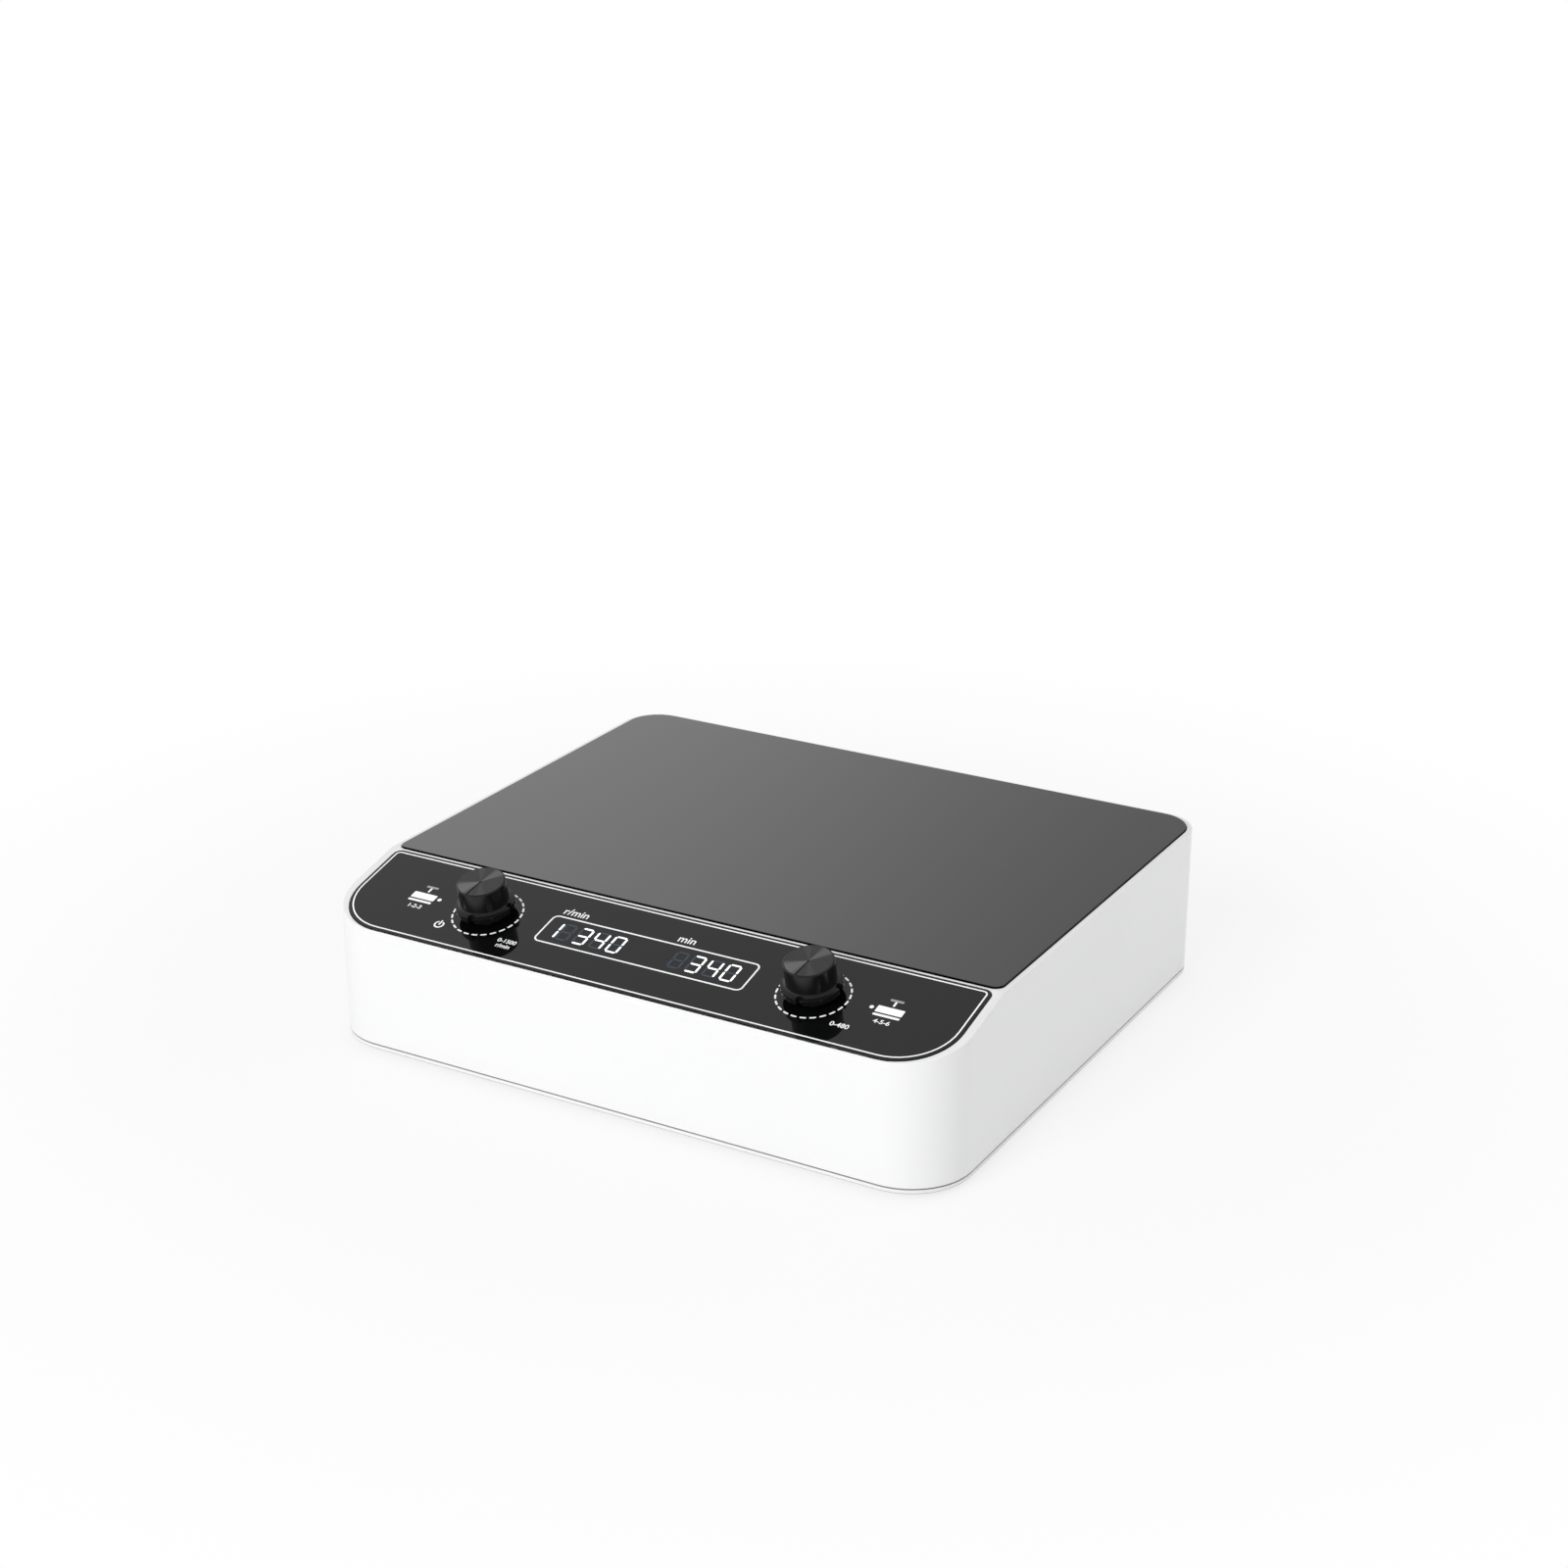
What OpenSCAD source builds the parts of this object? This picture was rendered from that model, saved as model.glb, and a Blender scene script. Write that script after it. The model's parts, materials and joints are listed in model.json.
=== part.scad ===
// Multi-position magnetic stirrer: white housing, black glass work plate, sloped console
// with two knobs, and one motor that turns six magnet rotors through belts.
// Millimetres. X to the right, Y to the back, Z up; the feet stand on Z = 0.

/* [Body] */
// Width of the housing
body_w = 330; // [310:1:380]
// Depth of the housing
body_d = 288; // [280:1:340]
// Height of the glass work surface above the bench
work_height = 80; // [78:0.5:110]
// Corner radius of the housing at the front
front_corner_r = 30; // [24:1:36]
// Corner radius of the housing at the back
back_corner_r = 20; // [12:1:26]
// Thickness of the side walls
wall = 2.5; // [2:0.1:4]
// Thickness of the top and slope walls
top_t = 2.5; // [2:0.1:3.5]
// Thickness of the base plate
base_t = 1.8; // [1.2:0.1:3]
// Height of the rubber feet below the base plate
foot_h = 3; // [2.6:0.1:8]
// Diameter of the rubber feet
foot_d = 18; // [14:0.5:24]
// Distance of each foot's centre from the two nearest sides
foot_inset = 19; // [17:0.5:24]

/* [Glass plate] */
// Thickness of the glass work plate
plate_t = 4; // [3:0.5:6]
// Height of the glass above the white rim
plate_proud = 0.8; // [0.4:0.1:2]
// White rim between the glass and the outside, at the sides and back
plate_margin = 3; // [3:0.1:8]
// Distance from the front of the housing to the glass plate
console_d = 60; // [54:0.5:70]
// Corner radius of the glass at the front
plate_front_r = 4.5; // [2:0.5:12]
// Free space around the glass in its pocket
plate_gap = 0.3; // [0.1:0.05:0.6]
// Width of the ledge under the glass
ledge_w = 9; // [6:0.5:14]
// Thickness of the foam tape under the glass
tape_t = 0.5; // [0.3:0.1:1]
// Width of the foam tape
tape_w = 6; // [3:0.5:8]

/* [Control panel] */
// Angle of the console slope
slope_deg = 14; // [10:0.5:16]
// Thickness of the panel glass
panel_t = 2; // [1.5:0.1:3]
// Height of the panel glass above the slope
panel_proud = 0.4; // [0.1:0.1:0.8]
// White margin at each end of the panel
panel_margin = 4.5; // [4:0.5:10]
// White margin between the panel and the front of the housing
panel_front_margin = 1; // [0.8:0.1:3]
// White margin between the panel and the fold above it
panel_back_margin = 1; // [0.8:0.1:3]
// Flat white strip between the fold and the glass pocket
strip_w = 1; // [0.8:0.1:4]
// Corner radius of the panel at the front
panel_front_r = 28; // [16:1:32]
// Corner radius of the panel at the back
panel_back_r = 4; // [2:0.5:8]
// Free space around the panel in its recess
panel_gap = 0.2; // [0.1:0.05:0.4]
// Thickness of the adhesive tape under the panel
panel_tape_t = 0.2; // [0.1:0.05:0.4]
// Length of the display module
display_w = 106; // [90:1:116]
// Depth of the display module along the slope
display_d = 17; // [14:0.5:20]
// Length of the control board
board_w = 240; // [214:1:260]
// Depth of the control board along the slope
board_d = 38; // [34:0.5:42]
// Thickness of the control board
board_t = 1.6; // [1:0.1:2]

/* [Knobs] */
// Distance of each knob from the middle
knob_x = 87; // [80:0.5:96]
// Height of the knob's top above the panel
knob_h = 18.2; // [16:0.2:24]
// Diameter of the knob at the top
knob_top_d = 23; // [22.6:0.2:25.2]
// Diameter of the knob above its skirt
knob_body_d = 23.2; // [22.8:0.2:26.2]
// Diameter of the flared skirt
skirt_d = 28; // [27:0.2:32]
// Height of the flared skirt
skirt_h = 4.2; // [3.4:0.2:6]
// Height of the straight rim at the bottom of the skirt
skirt_rim = 2.8; // [1.4:0.2:3.2]
// Free space between the skirt and the panel
knob_lift = 4; // [3.4:0.2:5]
// Diameter of the spun metal cap
cap_d = 21.6; // [18:0.2:22]
// Thickness of the cap
cap_t = 1.2; // [0.8:0.1:2]
// Width of the pointer line in the cap
pointer_w = 0.9; // [0.5:0.1:1.5]
// Clockwise angle of the pointer from the top of the panel
pointer_deg = 184; // [150:1:240]
// Diameter of the potentiometer shaft
pot_shaft_d = 6; // [5:0.1:6.4]
// Diameter of the potentiometer's threaded bush
pot_bush_d = 9; // [8.6:0.1:10]
// Side of the potentiometer's square body
pot_side = 17; // [14:0.5:20]

/* [Drive] */
// Distance between stirring places, in both directions
place_pitch = 103; // [96:0.5:104]
// Diameter of the magnet disc
rotor_d = 58; // [54:1:70]
// Thickness of the magnet disc
rotor_t = 5.5; // [5:0.1:7]
// Diameter of a magnet
magnet_d = 16; // [10:0.5:18]
// Height of a magnet
magnet_h = 5; // [3.5:0.1:6]
// Depth of a magnet's pocket in the disc
pocket_depth = 3; // [2:0.1:3.4]
// Distance between the two magnets of a rotor
magnet_spacing = 36; // [33:0.5:38]
// Free space between the magnets and the glass
magnet_gap = 2.5; // [1.5:0.1:5]
// Diameter of the belt grooves
groove_d = 24; // [20:0.5:28]
// Height of the belt flanges above the grooves
flange_rise = 2.5; // [2:0.1:4]
// Thickness of a belt flange
flange_t = 2.2; // [1.5:0.1:3]
// Width of a belt
belt_w = 4; // [3:0.1:5]
// Thickness of a belt
belt_t = 1.2; // [0.8:0.1:1.6]
// Diameter of the fixed spindles
spindle_d = 6; // [5:0.1:7]
// Outside diameter of a ball bearing
bearing_d = 13; // [12:0.5:16]
// Width of a ball bearing
bearing_w = 5; // [3:0.5:5]
// Thickness of the deck plate
deck_t = 2; // [1.5:0.1:3]
// Diameter of the motor can
motor_d = 42; // [36:1:50]
// Height of the motor can
motor_h = 17; // [12:0.5:20]
// Diameter of the motor shaft
motor_shaft_d = 5; // [4:0.1:6]

/* [Inlet and leads] */
// Distance of the power inlet from the right side, at the back
inlet_inset = 55; // [47:1:75]
// Height of the power inlet above the bench
inlet_z = 22; // [18:0.5:28]
// Diameter of the inlet's threaded barrel
inlet_d = 8; // [7.5:0.1:9]
// Bore of the inlet
inlet_bore_d = 5.5; // [5:0.1:6]
// Diameter of the leads
lead_d = 3.5; // [2:0.1:4]

/* [Fasteners] */
// Diameter of the screws in the feet, base, deck and motor
screw_d = 3; // [2.5:0.1:3.2]
// Diameter of their heads
screw_head_d = 5.6; // [5:0.1:6.4]
// Height of their heads
screw_head_h = 1.7; // [1.2:0.1:2]
// Diameter of the control board's screws
board_screw_d = 2.5; // [2:0.1:3]

/* [Hidden] */
$fn = 64;
// Radial clearance of pieces that are seated in each other
seat_gap = 0.02;
// Radial clearance of pieces that turn in each other
run_gap = 0.03;
// Radial clearance of a screw or stub in a through hole
hole_gap = 0.2;
// Clearance of a belt from its groove, of a rotor from its seat and past a shaft's end
loose_gap = 0.3;
// Free space around the display in its window
window_gap = 1;
// Depth of a screw hole past the screw's end
blind_spare = 1;
// Smallest corner radius left where an outline is moved inwards
least_r = 1;
// Extra length of a cut past the face that it opens
cut = 1;

base_top = foot_h + base_t;
// Shadow gap round the foot of the housing, where it meets the base plate
seam_gap_h = 0.5;
seam_gap_d = 0.8;
rim_z = work_height - plate_proud;
plate_under = work_height - plate_t;
ledge_z = plate_under - tape_t;
ceiling_z = ledge_z - top_t;
front_y = -body_d / 2;
back_y = body_d / 2;
plate_front_y = front_y + console_d;
plate_back_y = back_y - plate_margin;
plate_mid_y = (plate_front_y + plate_back_y) / 2;
plate_w = body_w - 2 * plate_margin;
plate_back_r = back_corner_r - plate_margin;

// The slope frame: x to the right, y up the slope from the front face, z out of the slope.
// The panel's edges lie on a fine grid, so that its sides and corner arcs meet exactly.
slope_grid = 0.01;
function on_grid(v) = round(v / slope_grid) * slope_grid;
fold_y = plate_front_y - plate_gap - strip_w;
front_top_z = rim_z - (fold_y - front_y) * tan(slope_deg);
slope_len = (fold_y - front_y) / cos(slope_deg);
panel_front_s = on_grid(panel_front_margin / cos(slope_deg));
panel_back_s = on_grid(slope_len - panel_back_margin);
panel_mid_s = (panel_back_s + panel_front_s) / 2;
panel_w = body_w - 2 * panel_margin;
panel_under = panel_proud - panel_t;
recess_n = panel_under - panel_tape_t;
slope_under = recess_n - top_t;
panel_tape_inset = 1;
pot_h = 5.7;
pot_floor = 1;
board_top = slope_under - pot_h;
board_under = board_top - board_t;

// Knob pieces, measured up from the panel glass
nut_h = 2;
nut_rim = 3;
nut_d = pot_bush_d + 2 * nut_rim;
thread_over_nut = 0.8;
bush_rise = nut_h + thread_over_nut;
cavity_gap = 1.5;
knob_cavity_d = nut_d + 2 * cavity_gap;
knob_cavity_h = 3;
knob_edge = 0.4;
flare_steps = 6;
notch_w = 3.2;
notch_h = 3.6;
notch_wall = 0.4;
notch_deg = [5 : 90 : 275];
shaft_flat = 1;
knob_roof = 1.6;
shaft_top = panel_proud + knob_h - cap_t - knob_roof;

// Drive heights, from the glass downwards
magnet_top = plate_under - magnet_gap;
disc_top = magnet_top - magnet_h + pocket_depth;
disc_bottom = disc_top - rotor_t;
level_h = flange_t + belt_w + 2 * loose_gap;
levels = 4;
motor_levels = 2;
rotor_bottom = disc_bottom - levels * level_h;
spindle_flange_rim = 3;
spindle_flange_d = spindle_d + 2 * spindle_flange_rim;
spindle_flange_h = 2.5;
deck_top = rotor_bottom - loose_gap - spindle_flange_h;
deck_under = deck_top - deck_t;
groove_r = groove_d / 2;
flange_r = groove_r + flange_rise;
spindle_nut_rim = 2.75;
spindle_nut_d = spindle_d + 2 * spindle_nut_rim;
spindle_nut_h = 5;
clip_t = 0.8;
clip_rim = 2;
clip_d = spindle_d + 2 * clip_rim;
clip_groove = 0.5;
clip_groove_d = spindle_d - 2 * clip_groove;
clip_slot_w = 3;
clip_z = disc_top + loose_gap;
spindle_end = 1;
spindle_top = clip_z + clip_t + spindle_end;
rotor_bore_gap = 1;
motor_bottom = deck_under - motor_h;
motor_floor = 3;
motor_hole_d = 12;
motor_screw_pcd = 30;
motor_pulley_h = motor_levels * level_h + flange_t;
shaft_over_pulley = 2;

// Deck plate on standoffs, kept clear of the rear posts: it reaches past the rotors and towards the sides
post_d = 9;
deck_rim = 2;
deck_side_gap = 31;
deck_gap = 2;
deck_setback = 4;
deck_w = max(2 * (place_pitch + rotor_d / 2 + deck_rim), body_w - 2 * deck_side_gap);
deck_front_y = plate_front_y + ledge_w + deck_setback;
deck_back_y = back_y - foot_inset - post_d / 2 - deck_gap;
deck_corner_r = 8;
standoff_d = 10;
standoff_inset = 10;
standoff_x = deck_w / 2 - standoff_inset;
screw_grip = 8;

places = ["front_left", "front_middle", "front_right", "back_left", "back_middle", "back_right"];
function place(i) = [(i % 3 - 1) * place_pitch, plate_mid_y + (i < 3 ? -1 : 1) * place_pitch / 2];
motor_place = [0, plate_mid_y];
belts = [
    ["motor_front_belt", motor_place, place(1), 0],
    ["motor_back_belt", motor_place, place(4), 1],
    ["front_left_belt", place(1), place(0), 2],
    ["front_right_belt", place(1), place(2), 3],
    ["back_left_belt", place(4), place(3), 2],
    ["back_right_belt", place(4), place(5), 3],
];
knobs = [["speed", -knob_x], ["timer", knob_x]];
feet = [for (sx = [-1, 1], sy = [-1, 1]) [sx * (body_w / 2 - foot_inset), sy * (body_d / 2 - foot_inset)]];
standoffs = concat(
    [for (sx = [-1, 1], y = [deck_front_y + standoff_inset, deck_back_y - standoff_inset])
        [sx * standoff_x, y]],
    [for (sx = [-1, 1]) [sx * place_pitch / 2, plate_mid_y]]
);
board_hole_inset = [5, 4];
board_posts = [for (sx = [-1, 1], ss = [-1, 1])
    [sx * (board_w / 2 - board_hole_inset[0]), panel_mid_s + ss * (board_d / 2 - board_hole_inset[1])]];
board_post_d = 7;
board_grip = 5;
board_screw_head_d = 5;
socket_d = 2.8;
socket_depth = 1;

inlet_x = body_w / 2 - inlet_inset;
inlet_flange_rim = 2;
inlet_flange_d = inlet_d + 2 * inlet_flange_rim;
inlet_flange_t = 1.5;
inlet_len = 20;
inlet_depth = 10;
inlet_pin_d = 2;
inlet_pin_inset = 1;
inlet_nut_h = 2.5;
inlet_nut_rim = 2.5;
inlet_nut_d = inlet_d + 2 * inlet_nut_rim;

// Leads: the power lead runs forward between two rows of standoffs, the motor lead near the middle
lead_sides = 8;
lead_bend = 8;
lead_stub = 1;
lead_turn_deg = [0 : 22.5 : 90];
lead_join_s = panel_mid_s + lead_bend;
lead_rise_y = deck_front_y - lead_bend;
ring_reference = [1, 0.2, 0.1];
power_lane_x = (place_pitch / 2 + standoff_x) / 2;
power_lane_z = (base_top + deck_under - spindle_nut_h) / 2;
power_lead_route = concat(
    [for (n = [0, 1]) [inlet_x, back_y - inlet_len - n * lead_bend, inlet_z]],
    [[power_lane_x, plate_mid_y, power_lane_z]],
    lead_end(power_lane_x, power_lane_z)
);
motor_lead_x = 24;
motor_lead_z = (base_top + motor_bottom) / 2;
motor_turn_r = motor_bottom - lead_stub - motor_lead_z;
motor_lead_y = plate_mid_y - motor_d / 2 + lead_bend;
motor_lead_route = concat(
    [[0, motor_lead_y, motor_bottom]],
    [for (a = lead_turn_deg)
        [0, motor_lead_y - motor_turn_r * (1 - cos(a)), motor_bottom - lead_stub - motor_turn_r * sin(a)]],
    [[motor_lead_x, place(1)[1], motor_lead_z]],
    lead_end(motor_lead_x, motor_lead_z)
);

rotor_nodes = [for (kind = ["rotor", "magnets", "bearings"], p = places) str(p, "_", kind)];
belt_nodes = [for (b = belts) b[0]];
knob_nodes = [for (k = knobs, kind = ["knob", "knob_cap", "pot", "pot_shaft", "pot_nut"])
    str(k[0], "_", kind)];

// Place of a point of the slope frame in the part's own frame
function from_slope(x, s, n) = [
    x,
    front_y + s * cos(slope_deg) - n * sin(slope_deg),
    front_top_z + s * sin(slope_deg) + n * cos(slope_deg)
];

// Last stretch of a lead: forward over the base, then up square to the control board
function lead_end(x, z) = let (
    below_board = from_slope(x, lead_join_s, board_under - 2 * lead_bend)
) [
    [x, deck_front_y, z],
    [x, (lead_rise_y + below_board[1]) / 2, z + lead_bend],
    below_board,
    from_slope(x, lead_join_s, board_under - lead_bend),
    from_slope(x, lead_join_s, board_under)
];

// Tube with lead_sides sides along a route
function unit(v) = v / norm(v);
function heading(route, i) = unit(route[min(i + 1, len(route) - 1)] - route[max(i - 1, 0)]);
function ring(route, i) = let (
    ahead = heading(route, i),
    across = unit(cross(ahead, ring_reference)),
    over = cross(ahead, across)
) [for (k = [0 : lead_sides - 1])
    let (a = 360 * k / lead_sides) route[i] + lead_d / 2 * (cos(a) * across + sin(a) * over)];

module lead(route) {
    rings = len(route);
    last = (rings - 1) * lead_sides;
    points = [for (i = [0 : rings - 1]) each ring(route, i)];
    sides = [for (i = [0 : rings - 2], k = [0 : lead_sides - 1])
        let (a = i * lead_sides + k, b = i * lead_sides + (k + 1) % lead_sides)
        each [[a, a + lead_sides, b], [b, a + lead_sides, b + lead_sides]]];
    start_cap = [[for (k = [0 : lead_sides - 1]) k]];
    end_cap = [[for (k = [lead_sides - 1 : -1 : 0]) last + k]];
    polyhedron(points, concat(sides, start_cap, end_cap));
}

module on_slope() {
    translate([0, front_y, front_top_z]) rotate([slope_deg, 0, 0]) children();
}

// Upright cylinder between two heights, solid or as a cut
module rod(d, z0, z1) {
    translate([0, 0, z0]) cylinder(d = d, h = z1 - z0);
}

// Rectangle from y0 to y1 with front and back corner radii
module rounded_plan(w, y0, y1, r_front, r_back) {
    difference() {
        translate([-w / 2, y0]) square([w, y1 - y0]);
        for (sx = [0, 1]) mirror([sx, 0]) {
            translate([w / 2 - r_front, y0 + r_front]) rotate(-90) corner_waste(r_front);
            translate([w / 2 - r_back, y1 - r_back]) corner_waste(r_back);
        }
    }
}

module corner_waste(r) {
    difference() {
        square(r + cut);
        circle(r);
    }
}

// Outline of the housing, moved inwards by inset
module body_plan(inset = 0) {
    rounded_plan(body_w - 2 * inset, front_y + inset, back_y - inset,
        front_corner_r - inset, back_corner_r - inset);
}

// Outline of the glass plate, moved inwards by inset
module plate_plan(inset = 0) {
    rounded_plan(plate_w - 2 * inset, plate_front_y + inset, plate_back_y - inset,
        max(plate_front_r - inset, least_r), max(plate_back_r - inset, least_r));
}

// Outline of the panel glass in the slope frame, moved inwards by inset
module panel_plan(inset = 0) {
    rounded_plan(panel_w - 2 * inset, panel_front_s + inset, panel_back_s - inset,
        panel_front_r - inset, max(panel_back_r - inset, least_r));
}

// Side outline, given as [y, z] points, drawn across the whole width
module across_body(points) {
    rotate([90, 0, 90]) linear_extrude(body_w + 2 * cut, center = true) polygon(points);
}

function slope_z(y, n) = rim_z + (y - fold_y) * tan(slope_deg) + n / cos(slope_deg);

module screw(d, head_d, head_h, grip) {
    difference() {
        union() {
            cylinder(d = d, h = grip);
            translate([0, 0, -head_h]) cylinder(d = head_d, h = head_h);
        }
        translate([0, 0, -head_h - cut]) cylinder(d = socket_d, h = socket_depth + cut, $fn = 6);
    }
}

module hex_nut(d, bore, h) {
    difference() {
        cylinder(d = d, h = h, $fn = 6);
        rod(bore, -cut, h + cut);
    }
}

// Cut for the display through a wall between two heights of the slope frame
module display_window(n0, n1) {
    translate([-display_w / 2 - window_gap, panel_mid_s - display_d / 2 - window_gap, n0 - cut])
        cube([display_w + 2 * window_gap, display_d + 2 * window_gap, n1 - n0 + 2 * cut]);
}

module housing() {
    inner_front = front_y + wall;
    join_y = fold_y + (ceiling_z - slope_z(fold_y, slope_under)) / tan(slope_deg);
    color("white") difference() {
        union() {
            difference() {
                intersection() {
                    translate([0, 0, base_top]) linear_extrude(rim_z - base_top) body_plan();
                    across_body([[front_y - cut, base_top - cut], [front_y - cut, slope_z(front_y - cut, 0)],
                        [fold_y, rim_z], [fold_y, rim_z + cut], [back_y + cut, rim_z + cut],
                        [back_y + cut, base_top - cut]]);
                }
                difference() {
                    intersection() {
                        linear_extrude(work_height) body_plan(wall);
                        across_body([[inner_front - cut, base_top - cut],
                            [inner_front - cut, slope_z(inner_front - cut, slope_under)],
                            [join_y, ceiling_z], [back_y, ceiling_z], [back_y, base_top - cut]]);
                    }
                    for (f = feet) translate([f[0], f[1], 0]) cylinder(d = post_d, h = work_height);
                }
            }
            on_slope() for (b = board_posts) translate([b[0], b[1], board_top])
                cylinder(d = board_post_d, h = slope_under - board_top + top_t / 2);
        }
        translate([0, 0, base_top - cut]) linear_extrude(seam_gap_h + cut) difference() {
            body_plan(-cut);
            body_plan(seam_gap_d);
        }
        translate([0, 0, ledge_z]) linear_extrude(work_height) plate_plan(-plate_gap);
        linear_extrude(work_height) plate_plan(ledge_w);
        for (f = feet) translate([f[0], f[1], 0])
            rod(screw_d + 2 * seat_gap, base_top - cut, base_top + screw_grip + blind_spare);
        on_slope() {
            translate([0, 0, recess_n]) linear_extrude(cut - recess_n) panel_plan(-panel_gap);
            display_window(slope_under, recess_n);
            for (k = knobs) translate([k[1], panel_mid_s, 0])
                rod(pot_bush_d + 2 * hole_gap, slope_under - cut, recess_n + cut);
            for (b = board_posts) translate([b[0], b[1], 0])
                rod(board_screw_d + 2 * seat_gap, board_top - cut, board_top + board_grip + blind_spare);
        }
        at_inlet() {
            rod(inlet_flange_d + 2 * hole_gap, -cut, inlet_flange_t);
            rod(inlet_d + 2 * hole_gap, -cut, wall + cut);
        }
    }
}

module base_plate() {
    color("whitesmoke") difference() {
        translate([0, 0, foot_h]) linear_extrude(base_t) body_plan();
        for (p = concat(feet, standoffs)) translate([p[0], p[1], 0])
            rod(screw_d + 2 * hole_gap, foot_h - cut, base_top + cut);
    }
}

module rubber_feet() {
    color("dimgray") for (f = feet) translate([f[0], f[1], 0]) difference() {
        cylinder(d = foot_d, h = foot_h);
        rod(screw_d + 2 * hole_gap, -cut, foot_h + cut);
        rod(screw_head_d + 4 * hole_gap, -cut, screw_head_h + hole_gap);
    }
}

module foot_screws() {
    color("silver") for (f = feet) translate([f[0], f[1], screw_head_h + hole_gap])
        screw(screw_d, screw_head_d, screw_head_h, base_top + screw_grip - screw_head_h);
}

module base_screws() {
    color("silver") for (p = standoffs) translate([p[0], p[1], foot_h])
        screw(screw_d, screw_head_d, screw_head_h, base_t + screw_grip);
}

module glass_plate() {
    color("black") translate([0, 0, plate_under]) linear_extrude(plate_t) plate_plan();
}

module plate_tape() {
    color("gray") translate([0, 0, ledge_z]) linear_extrude(tape_t) difference() {
        plate_plan((ledge_w - tape_w) / 2);
        plate_plan((ledge_w + tape_w) / 2);
    }
}

module control_panel() {
    color("black") on_slope() difference() {
        translate([0, 0, panel_under]) linear_extrude(panel_t) panel_plan();
        for (k = knobs) translate([k[1], panel_mid_s, 0])
            rod(pot_bush_d + 2 * hole_gap, panel_under - cut, panel_proud + cut);
    }
}

module panel_tape() {
    color("gray") on_slope() difference() {
        translate([0, 0, recess_n]) linear_extrude(panel_tape_t) panel_plan(panel_tape_inset);
        display_window(recess_n, panel_under);
        for (k = knobs) translate([k[1], panel_mid_s, 0]) rod(nut_d, recess_n - cut, panel_under + cut);
    }
}

module display_module() {
    color("darkslategray") on_slope()
        translate([-display_w / 2, panel_mid_s - display_d / 2, board_top])
            cube([display_w, display_d, panel_under - board_top]);
}

module control_board() {
    color("green") on_slope() difference() {
        translate([-board_w / 2, panel_mid_s - board_d / 2, board_under]) cube([board_w, board_d, board_t]);
        for (b = board_posts) translate([b[0], b[1], 0])
            rod(board_screw_d + 2 * hole_gap, board_under - cut, board_top + cut);
    }
}

module board_screws() {
    color("silver") on_slope() for (b = board_posts) translate([b[0], b[1], board_under])
        screw(board_screw_d, board_screw_head_d, screw_head_h, board_t + board_grip);
}

// Puts a knob piece over its hole in the panel
module at_knob(x) {
    on_slope() translate([x, panel_mid_s, 0]) children();
}

// Round shaft with one flat above flat_from
module flatted_shaft(d, z0, z1, flat_from) {
    difference() {
        translate([0, 0, z0]) cylinder(d = d, h = z1 - z0);
        translate([d / 2 - shaft_flat, -d, flat_from]) cube([d, 2 * d, z1 - flat_from + cut]);
    }
}

// Hollow curve from the skirt's rim up to the knob's side, as [radius, height] points
function flare() = [for (i = [0 : flare_steps]) let (a = 90 * i / flare_steps) [
    skirt_d / 2 - (skirt_d - knob_body_d) / 2 * sin(a),
    skirt_rim + (skirt_h - skirt_rim) * (1 - cos(a))
]];

module knob(x) {
    tall = knob_h - knob_lift;
    underside = panel_proud + knob_lift;
    cavity_top = underside + knob_cavity_h;
    color("#1c1c1c") at_knob(x) difference() {
        translate([0, 0, underside]) rotate_extrude() polygon(concat(
            [[0, 0], [skirt_d / 2, 0]], flare(),
            [[knob_top_d / 2, tall - knob_edge], [knob_top_d / 2 - knob_edge, tall], [0, tall]]
        ));
        translate([0, 0, panel_proud + knob_h - cap_t]) cylinder(d = cap_d + 2 * seat_gap, h = cap_t + cut);
        rod(knob_cavity_d, underside - cut, cavity_top);
        flatted_shaft(pot_shaft_d + 2 * seat_gap, cavity_top - cut, shaft_top + loose_gap, underside);
        for (a = notch_deg) rotate(a) translate([knob_body_d / 2 + notch_wall, -notch_w / 2, panel_proud])
            cube([skirt_d, notch_w, knob_lift + notch_h]);
    }
}

module knob_cap(x) {
    color("#444444") at_knob(x) translate([0, 0, panel_proud + knob_h - cap_t]) difference() {
        cylinder(d = cap_d, h = cap_t);
        rotate(90 - pointer_deg) translate([0, -pointer_w / 2, cap_t / 2]) cube([cap_d, pointer_w, cap_t]);
    }
}

module pot(x) {
    color("silver") at_knob(x) difference() {
        union() {
            translate([-pot_side / 2, -pot_side / 2, board_top]) cube([pot_side, pot_side, pot_h]);
            rod(pot_bush_d, board_top, panel_proud + bush_rise);
        }
        rod(pot_shaft_d + 2 * run_gap, board_top + pot_floor, panel_proud + bush_rise + cut);
    }
}

module pot_shaft(x) {
    color("silver") at_knob(x)
        flatted_shaft(pot_shaft_d, board_top + pot_floor, shaft_top, panel_proud + bush_rise + knob_lift);
}

module pot_nut(x) {
    color("silver") at_knob(x) translate([0, 0, panel_proud])
        hex_nut(nut_d, pot_bush_d + 2 * seat_gap, nut_h);
}

// Repeats a piece at each stirring place
module at_places() {
    for (i = [0 : len(places) - 1]) translate(place(i)) children();
}

module deck_plate() {
    color("lightgray") difference() {
        translate([0, 0, deck_under]) linear_extrude(deck_t)
            rounded_plan(deck_w, deck_front_y, deck_back_y, deck_corner_r, deck_corner_r);
        at_places() rod(spindle_d + 2 * run_gap, deck_under - cut, deck_top + cut);
        translate(motor_place) rod(motor_hole_d, deck_under - cut, deck_top + cut);
        for (p = concat(standoffs, motor_screw_places())) translate(p)
            rod(screw_d + 2 * hole_gap, deck_under - cut, deck_top + cut);
    }
}

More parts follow.
